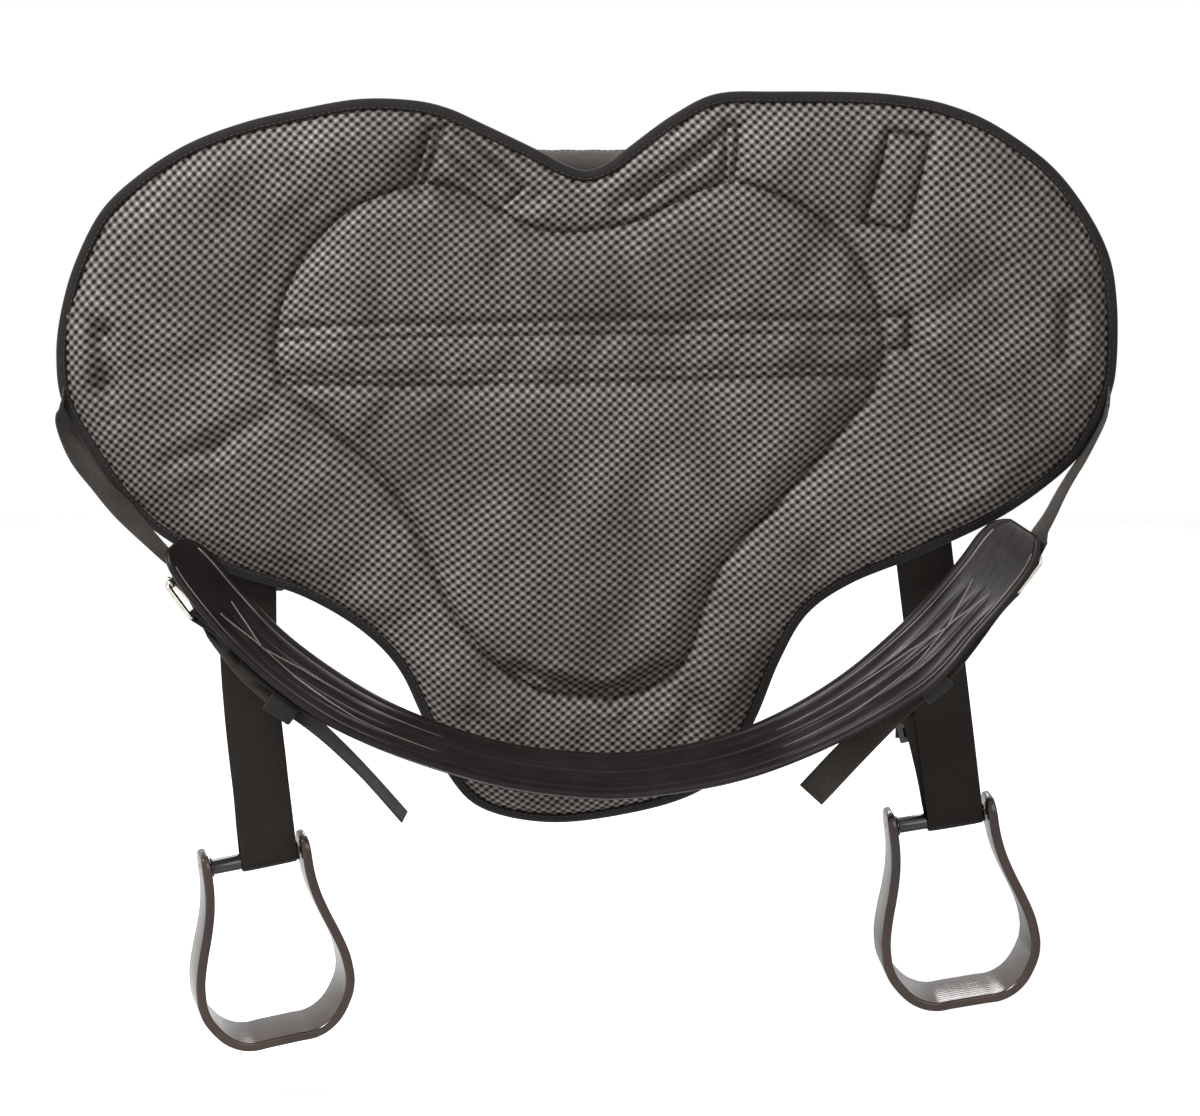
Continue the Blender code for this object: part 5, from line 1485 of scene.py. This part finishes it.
def grab_handle():
    """The handle's webbing and the sewn roll round it."""
    rows = rings_of("handle_web", np.array((-0.112, -0.038, 0.011)))
    band("handle_webbing", rows, handle_width, handle_thickness, web_finish, "pad",
         ("handle_web",))
    low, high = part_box("handle_grip")
    centres = smooth_path(rows, 1.5 * millimetre)[0]
    centres = centres[(centres[:, 0] > low[0]) & (centres[:, 0] < high[0])]
    to_end = np.minimum(centres[:, 0] - low[0], high[0] - centres[:, 0])
    radii = grip_radius * (grip_end + (1.0 - grip_end) * np.sqrt(smooth(to_end / grip_taper)))
    radii *= 1.0 + 0.02 * np.sin(centres[:, 0] * 260.0)
    grip = round_sweep("handle_roll", centres, radii, grip_finish, "pad")
    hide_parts("handle_grip")
    seam_row = centres + grip_row * radii[:, None]
    stitches("handle_roll_sewing", [seam_row[6:-6]], [grip_row], "pad")
    return grip


grip = grab_handle()
tab_lines = []
for word in ("left", "right"):
    rows = rings_of("handle_tab_" + word, np.array((0.0, -0.044, 0.0)))
    band("handle_tab_webbing_" + word, rows, tab_width, tab_thickness, web_finish, "pad",
         ("handle_tab_" + word,), step=4 * millimetre)
    (start, wide, _), (end, _, _) = rows
    run = (end - start) / np.linalg.norm(end - start)
    corners = [start + run * place + wide * side * tab_box_half
               for place, side in crossed_box(tab_box_start, tab_box_end)]
    tab_lines.append(np.array(corners) + tab_lift)
stitches("handle_tab_sewing", tab_lines, [to_rider] * 2, "pad")
print("handle done")

# %% [markdown]
# ## Moulded stirrups
# The stirrups are injection-moulded glass-filled nylon in a dark brown, with a satin shine. The
# moulding leaves a very fine leather-like grain, and the wide tread has long fine lines for grip.
# The wall is drawn once as half of a bell, mirrored, and swept with a section whose rims are
# rounded. The faces that look up reflect the white room, so they read as pale grey.

# %% Finishes: glass-filled nylon and its sleeve
def glass_filled_nylon():
    """Dark moulding with a fine grain, long lines and rubbed places."""
    made, tree, shader = new_finish("glass-filled nylon", 0.34, Specular_IOR_Level=0.5)
    shader.inputs["IOR"].default_value = 1.53
    place = run_place(tree)
    lines = ripples(tree, split(tree, place)[0], 4.5 * millimetre)
    rubs = clouds(tree, drawn_out(tree, place, 0.12), 2.2 * millimetre, 4.0, 0.6)
    solid = solid_place(tree)
    grain = clouds(tree, solid, 0.9 * millimetre, 3.0, 0.6)
    broad = clouds(tree, solid, 0.05, 2.0)
    colour = ramp(tree, broad, ((0.3, "#2a1a12"), (0.7, "#3d2a1f")))
    rubbed = ramp(tree, rubs, ((0.62, "#000000"), (0.80, "#505050")))
    linked(tree, shader, Base_Color=mixed(tree, rubbed, colour, linear("#6a5d55")),
           Roughness=ramp(tree, rubs, ((0.25, "#4c4c4c"), (0.80, "#808080"))))
    fine = bumped(tree, shader, grain, 0.06 * millimetre, 0.6)
    marks = maths(tree, "ADD", maths(tree, "MULTIPLY", lines, 0.25), rubs)
    bumped(tree, shader, marks, 0.25 * millimetre, 0.5, fine)
    return made


def turned_acetal():
    """Dark smooth plastic with faint turning marks."""
    made, tree, shader = new_finish("turned acetal", 0.30, Specular_IOR_Level=0.6)
    solid = solid_place(tree)
    marks = clouds(tree, solid, 1.5 * millimetre, 3.0, 0.6)
    linked(tree, shader, Base_Color=ramp(tree, marks, ((0.3, "#1b191a"), (0.7, "#2f2c2e"))),
           Roughness=ramp(tree, marks, ((0.3, "#404040"), (0.7, "#707070"))))
    bumped(tree, shader, marks, 0.05 * millimetre, 0.5)
    return made


moulded_finish = glass_filled_nylon()
sleeve_finish = turned_acetal()
print("moulding:", moulded_finish.name, "and sleeve:", sleeve_finish.name)

# %% Stirrup sizes and section
stirrup_half_width, stirrup_drop = 0.0720, 0.1700
stirrup_wall, stirrup_knob_rise = 0.0085, 0.0160
stirrup_tread_depth, stirrup_neck_depth = 0.0560, 0.0360
stirrup_shares = (
    (0.686, -0.060), (0.686, 0.000), (0.694, 0.110), (0.732, 0.220), (0.806, 0.335), (0.900, 0.455),
    (0.970, 0.565), (0.994, 0.660), (0.986, 0.735), (0.926, 0.815), (0.770, 0.915), (0.590, 0.974),
    (0.400, 1.000), (0.200, 1.000), (0.000, 1.000),
)
stirrup_rim_radius = 2.2 * millimetre
# The sleeve's places from its end and its radii there, in millimetres.
sleeve_profile = ((0.0, 3.6), (0.0, 8.2), (0.4, 8.9), (1.1, 8.8), (1.7, 7.6), (2.6, 7.0))
sleeve_gap = 1.2 * millimetre
sleeve_sides = 40


def stirrup_frame(word):
    """The bar's centre with the bar's, the back's and the hanging direction."""
    name = "stirrup_%s_pivot" % word
    bar = np.array(joint_axis[name])
    back = np.array((-bar[1], bar[0], 0.0)) / math.hypot(bar[0], bar[1])
    down = -np.cross(bar, back)
    return np.array(joint_place[name]), bar, back, down / np.linalg.norm(down)


def rounded_box(low, high, half_depth, radius, steps=5):
    """A section from low to high and to half a depth each way, with its corners rounded."""
    out = []
    left, right, deep = low + radius, high - radius, half_depth - radius
    for quarter, (across, depth) in enumerate(((right, deep), (left, deep), (left, -deep), (right, -deep))):
        for k in range(steps + 1):
            angle = math.radians(90.0 * (quarter + k / steps))
            out.append((across + radius * math.cos(angle), depth + radius * math.sin(angle)))
    return out


neck_section = rounded_box(0.0, stirrup_wall, stirrup_neck_depth / 2, stirrup_rim_radius)
print("the stirrup's section has", len(neck_section), "points")


# %% Mould the stirrups and turn their sleeves
def stirrup(word):
    """A moulded stirrup: half a bell, mirrored, with rims that close at the knobs."""
    centre, bar, back, down = stirrup_frame(word)
    half = [(x * stirrup_half_width, z * stirrup_drop) for x, z in stirrup_shares]
    half[0] = (half[0][0], -stirrup_knob_rise)
    fine = curve_through(half, False, 9)
    left = fine[::-1][1:].copy()
    left[:, 0] *= -1
    path = np.vstack([fine, left])
    run = unit(np.gradient(path, axis=0))
    place = lengths_along(path)
    points, coordinates = [], []
    for (x, z), (rx, rz), along in zip(path, run, place):
        share = smooth(z / stirrup_drop)
        depth = stirrup_neck_depth + (stirrup_tread_depth - stirrup_neck_depth) * share
        dome = rise(z + stirrup_knob_rise, stirrup_knob_rise)
        depth *= 0.5 + 0.5 * dome
        low = stirrup_wall * 0.25 * (1.0 - dome)
        for inward, deep in rounded_box(low, stirrup_wall - low, depth / 2, stirrup_rim_radius):
            points.append(centre + bar * (x - rz * inward) + down * (z + rx * inward) + back * deep)
            coordinates.append((deep + inward, along))
    faces = swept_faces(len(path), len(points) // len(path))
    made = piece("moulded_stirrup_" + word, points, faces, moulded_finish, body="stirrup_" + word,
                 coordinates=coordinates, sharp=50)
    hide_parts("stirrup_" + word)
    return made


def sleeve(word):
    """The sleeve that turns on the bolt: a tube with a rolled lip at each end."""
    centre, bar, back, down = stirrup_frame(word)
    reach = stirrup_shares[1][0] * stirrup_half_width - stirrup_wall - sleeve_gap
    half = [(-reach + place * millimetre, radius * millimetre) for place, radius in sleeve_profile]
    rows = half + [(-place, radius) for place, radius in half[::-1]]
    turns = [2 * math.pi * k / sleeve_sides for k in range(sleeve_sides)]
    points = [centre + bar * place + (back * math.cos(turn) + down * math.sin(turn)) * radius
              for place, radius in rows for turn in turns]
    faces = swept_faces(len(rows), sleeve_sides, True)
    made = piece("turned_sleeve_" + word, points, faces, sleeve_finish, body="sleeve_" + word, sharp=50)
    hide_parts("bar_sleeve_" + word)
    return made


for word in ("left", "right"):
    stirrup(word)
    sleeve(word)
print("stirrups moulded, walls", stirrup_wall * 1000, "mm")

# %% [markdown]
# ## Metal and small fittings
# The roller buckles are nickel-plated steel wire and the dees are welded steel. Plated wire is
# bright and smooth with faint polishing haze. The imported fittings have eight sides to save
# triangles, so each is copied, its triangles joined back to squares, and rounded by subdivision or
# by a small bevel. Most are swelled by a millimetre or so, to stand out as they do in the photograph.
# Folded tabs and keepers are webbing with soft edges.

# %% Finishes: nickel plate, welded steel and bolt steel
def plated(name, tint, roughness, haze):
    """Plated or bare metal with a faint haze of a size in metres."""
    made, tree, shader = new_finish(name, roughness, 1.0)
    solid = solid_place(tree)
    smear = clouds(tree, solid, haze, 4.0, 0.6)
    spread = add(tree, "ShaderNodeMapRange", {0: smear, 3: roughness * 0.7, 4: roughness * 1.6}).outputs[0]
    linked(tree, shader, Base_Color=ramp(tree, smear, ((0.3, tint[0]), (0.7, tint[1]))), Roughness=spread)
    bumped(tree, shader, smear, 0.03 * millimetre, 0.4)
    return made


nickel_finish = plated("nickel plate", ("#c9c3b6", "#e8e4da"), 0.16, 2.0 * millimetre)
steel_finish = plated("welded steel wire", ("#aeb0b2", "#d0d2d4"), 0.24, 2.5 * millimetre)
bolt_finish = plated("zinc-plated bolt steel", ("#77746f", "#9b9892"), 0.38, 1.5 * millimetre)
print("metals:", nickel_finish.name, steel_finish.name, bolt_finish.name)

# %% Copy fittings with rounder forms
fold_share = 0.84
fold_inset = 2 * millimetre


def squared_copy(node, name):
    """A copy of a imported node's mesh, its triangles joined back to squares."""
    bm = welded(node)
    bmesh.ops.join_triangles(bm, faces=bm.faces, angle_face_threshold=math.radians(30),
                             angle_shape_threshold=math.radians(60))
    bmesh.ops.recalc_face_normals(bm, faces=bm.faces)
    mesh = bpy.data.meshes.new(name)
    bm.to_mesh(mesh)
    bm.free()
    made = bpy.data.objects.new(name, mesh)
    bpy.context.collection.objects.link(made)
    return made


def slide_fold(word):
    """The turned-back edge of the webbing, which fills the slot of the slide beside the strap."""
    low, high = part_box("strap_slide_" + word)
    middle, width = (low + high) / 2, (high.z - low.z) * fold_share
    rows = [(np.array((x, middle.y, middle.z)), np.array((0.0, 0.0, 1.0)), width / 2)
            for x in np.linspace(low.x + fold_inset, high.x - fold_inset, 8)]
    return band("slide_fold_" + word, rows, width, web_thickness, strap_finish, "strap_" + word,
                ())


def fitting(node, name, finish, body, levels, bevel, axes, fuller):
    """A rounded copy of a packed fitting. Axes give a woven one its run coordinates."""
    made = squared_copy(node, name)
    if axes is not None:
        across_axis, run_axis = (np.array(axis, float) for axis in axes)
        uv = made.data.uv_layers.new(name="run")
        for loop in made.data.loops:
            spot = np.array(made.data.vertices[loop.vertex_index].co)
            uv.data[loop.index].uv = (spot @ across_axis, spot @ run_axis)
    if bevel:
        soft = made.modifiers.new("soft edges", "BEVEL")
        soft.width = bevel
        soft.segments = 3
        soft.limit_method = "ANGLE"
        soft.angle_limit = math.radians(35)
    if levels:
        rounder = made.modifiers.new("round", "SUBSURF")
        rounder.levels = levels
        rounder.render_levels = levels
    if fuller:
        swell = made.modifiers.new("full wire", "DISPLACE")
        swell.strength = fuller
        swell.mid_level = 0.0
    made.data.materials.clear()
    made.data.materials.append(finish)
    shaped = bpy.data.meshes.new_from_object(made.evaluated_get(bpy.context.evaluated_depsgraph_get()))
    made.modifiers.clear()
    made.data = shaped
    made.data.shade_smooth()
    if not levels:
        made.data.set_sharp_from_angle(angle=math.radians(50))
    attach(made, body)
    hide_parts(node)
    return made


print("fitting helpers ready")


# %% Make the fittings
# Node, piece, finish, body, slot, levels of subdivision, then bevel and swell in millimetres. Every name
# gets its side added, and so does a body that ends with a low line.
fittings = (
    ("buckle_frame_", "nickel_buckle_", nickel_finish, "girth", "nickel", 2, 0.0, 0.9),
    ("buckle_prong_", "nickel_prong_", nickel_finish, "prong_", "nickel", 0, 0.5, 0.4),
    ("buckle_roller_", "nickel_roller_", nickel_finish, "roller_", "nickel", 0, 0.25, 0.7),
    ("dee_ring_", "steel_dee_", steel_finish, "dee_", "steel", 2, 0.0, 0.0),
    ("stirrup_bolt_", "bolt_", bolt_finish, "stirrup_", "bolt_steel", 0, 0.4, 0.0),
    ("strap_slide_", "moulded_slide_", sleeve_finish, "strap_", "moulded_plastic", 0, 0.7, 1.2),
    ("chape_", "chape_webbing_", web_finish, "girth", "webbing", 0, 0.5, 0.0),
    ("keeper_", "keeper_webbing_", web_finish, "girth", "webbing", 0, 0.6, 1.6),
    ("dee_tab_", "dee_tab_webbing_", web_finish, "pad", "webbing", 0, 0.5, 0.0),
)


def woven_axes(word):
    """Directions across and along the webbing of each woven fitting on one side."""
    across = joint_axis["buckle_prong_%s_lift" % word].normalized()
    along = joint_place["buckle_prong_%s_lift" % word] - joint_place["buckle_roller_%s_spin" % word]
    along = along.normalized()
    outward = across.cross(along).normalized()
    return {"chape_": (across, along), "keeper_": (along, across + outward),
            "dee_tab_": ((1, 0, 0), (0, 0.2, 1))}


for word in ("left", "right"):
    axes = woven_axes(word)
    for node, name, finish, body, slot, levels, bevel, fuller in fittings:
        if body.endswith("_"):
            body += word
        fitting(node + word, name + word, finish, body, levels, bevel * millimetre, axes.get(node),
                fuller * millimetre)
    slide_fold(word)
print("fittings rounded:", 2 * len(fittings), "of them webbing:", 2 * len(axes))

# %% [markdown]
# ## Sewing on the straps
# The stirrup straps and the cross strap are sewn to the seat side. Each end has a box of stitches
# with a cross in it.

# %% Sew the straps
box_margin = 0.005
box_steps = 14


def box_on_band(rows, start, end, lift):
    """A box of stitches with a cross, on the seat side of a band, between two places along it."""
    centres, _, wide, _, _, place = smooth_path(rows, 2 * millimetre)
    reach = wide_webbing / 2 - box_margin
    path = []
    corners = crossed_box(start, end)
    for (from_place, from_side), (to_place, to_side) in zip(corners, corners[1:]):
        for share in np.linspace(0.0, 1.0, box_steps)[:-1]:
            here = from_place + (to_place - from_place) * share
            k = int(np.clip(np.searchsorted(place, here), 0, len(place) - 1))
            side = from_side + (to_side - from_side) * share
            path.append(centres[k] + wide[k] * side * reach + np.array((0.0, lift, 0.0)))
    return np.array(path)


strap_box_start, strap_box_share, strap_box_lift = 0.004, 0.82, 0.0011
cross_boxes = ((0.006, 0.052), (0.760, 0.806))
cross_box_lift = 0.0013

seat_boxes = []
for word, side in (("left", -1.0), ("right", 1.0)):
    top = np.array((side * 0.27, -0.05, 0.05))
    rows = rings_of("stirrup_anchor_" + word, top)
    length = np.linalg.norm(rows[0][0] - rows[-1][0])
    seat_boxes.append(box_on_band(rows, strap_box_start, length * strap_box_share, strap_box_lift))
for start, end in cross_boxes:
    seat_boxes.append(box_on_band(cross_rows, start, end, cross_box_lift))
stitches("seat_side_sewing", seat_boxes, [to_rider] * len(seat_boxes), "pad")

# %% [markdown]
# ## Light, floor and finish
# The photograph was lit by soft daylight with a light wall all round and its background cut to
# white. Here a broad lamp above and to the left models the beads, a weaker one fills from the
# right and one behind lights the seat side. The world is plain pale light. The white that the camera
# sees is the colour of the world and the floor, through the Light Path node, so it adds nothing to
# the object's own light.

# %% Light the scene and lay the floor
lamp_target = Vector((0.0, -0.05, -0.3))
floor_reach = 3.0
floor_gap = 0.06


def white_room():
    """Pale light all round, with pure white for the camera and for reflections."""
    world = bpy.data.worlds.new("white room")
    bpy.context.scene.world = world
    world.use_nodes = True
    tree = world.node_tree
    plain = tree.nodes["Background"]
    plain.inputs["Color"].default_value = linear("#f4f6fa")
    plain.inputs["Strength"].default_value = 0.23
    white = add(tree, "ShaderNodeBackground", {"Color": (1.0, 1.0, 1.0, 1.0), "Strength": 1.0})
    rays = add(tree, "ShaderNodeLightPath")
    seen = maths(tree, "MAXIMUM", rays.outputs["Is Camera Ray"],
                 maths(tree, "MAXIMUM", rays.outputs["Is Glossy Ray"], rays.outputs["Is Transmission Ray"]))
    both = add(tree, "ShaderNodeMixShader", {0: seen, 1: plain.outputs[0], 2: white.outputs[0]})
    tree.links.new(both.outputs[0], tree.nodes["World Output"].inputs["Surface"])


def lamp(name, place, size, energy):
    """A round lamp that faces the middle of the pad."""
    light = bpy.data.lights.new(name, "AREA")
    light.energy = energy
    light.shape = "DISK"
    light.size = size
    made = bpy.data.objects.new(name, light)
    made.location = place
    made.rotation_euler = (lamp_target - Vector(place)).to_track_quat("-Z", "Y").to_euler()
    bpy.context.collection.objects.link(made)


def pale_floor():
    """A floor well below the pad, which the camera sees as nearly white."""
    made, tree, shader = new_finish("pale floor", 0.9)
    shader.inputs["Base Color"].default_value = linear("#f2f2f2")
    rays = add(tree, "ShaderNodeLightPath")
    glow = add(tree, "ShaderNodeEmission", {"Color": (1.0, 1.0, 1.0, 1.0), "Strength": 0.55})
    none = add(tree, "ShaderNodeEmission", {"Strength": 0.0})
    seen = add(tree, "ShaderNodeMixShader", {0: rays.outputs["Is Camera Ray"], 1: none.outputs[0],
                                            2: glow.outputs[0]})
    both = add(tree, "ShaderNodeAddShader", {0: shader.outputs[0], 1: seen.outputs[0]})
    tree.links.new(both.outputs[0], tree.nodes["Material Output"].inputs["Surface"])
    spots = [(x * floor_reach, y * floor_reach, cad_box[0][2] - floor_gap)
             for x, y in ((-1, -1), (1, -1), (1, 1), (-1, 1))]
    made_floor = piece("floor", spots, [(0, 1, 2, 3)], made, body=None)


white_room()
lamp("broad_lamp", (-1.45, -1.35, 1.65), 0.8, 88.0)
lamp("fill_lamp", (1.3, -2.2, 0.3), 1.4, 12.0)
lamp("back_lamp", (0.1, 2.2, 1.2), 1.4, 36.0)
pale_floor()
print("three lamps and a floor")
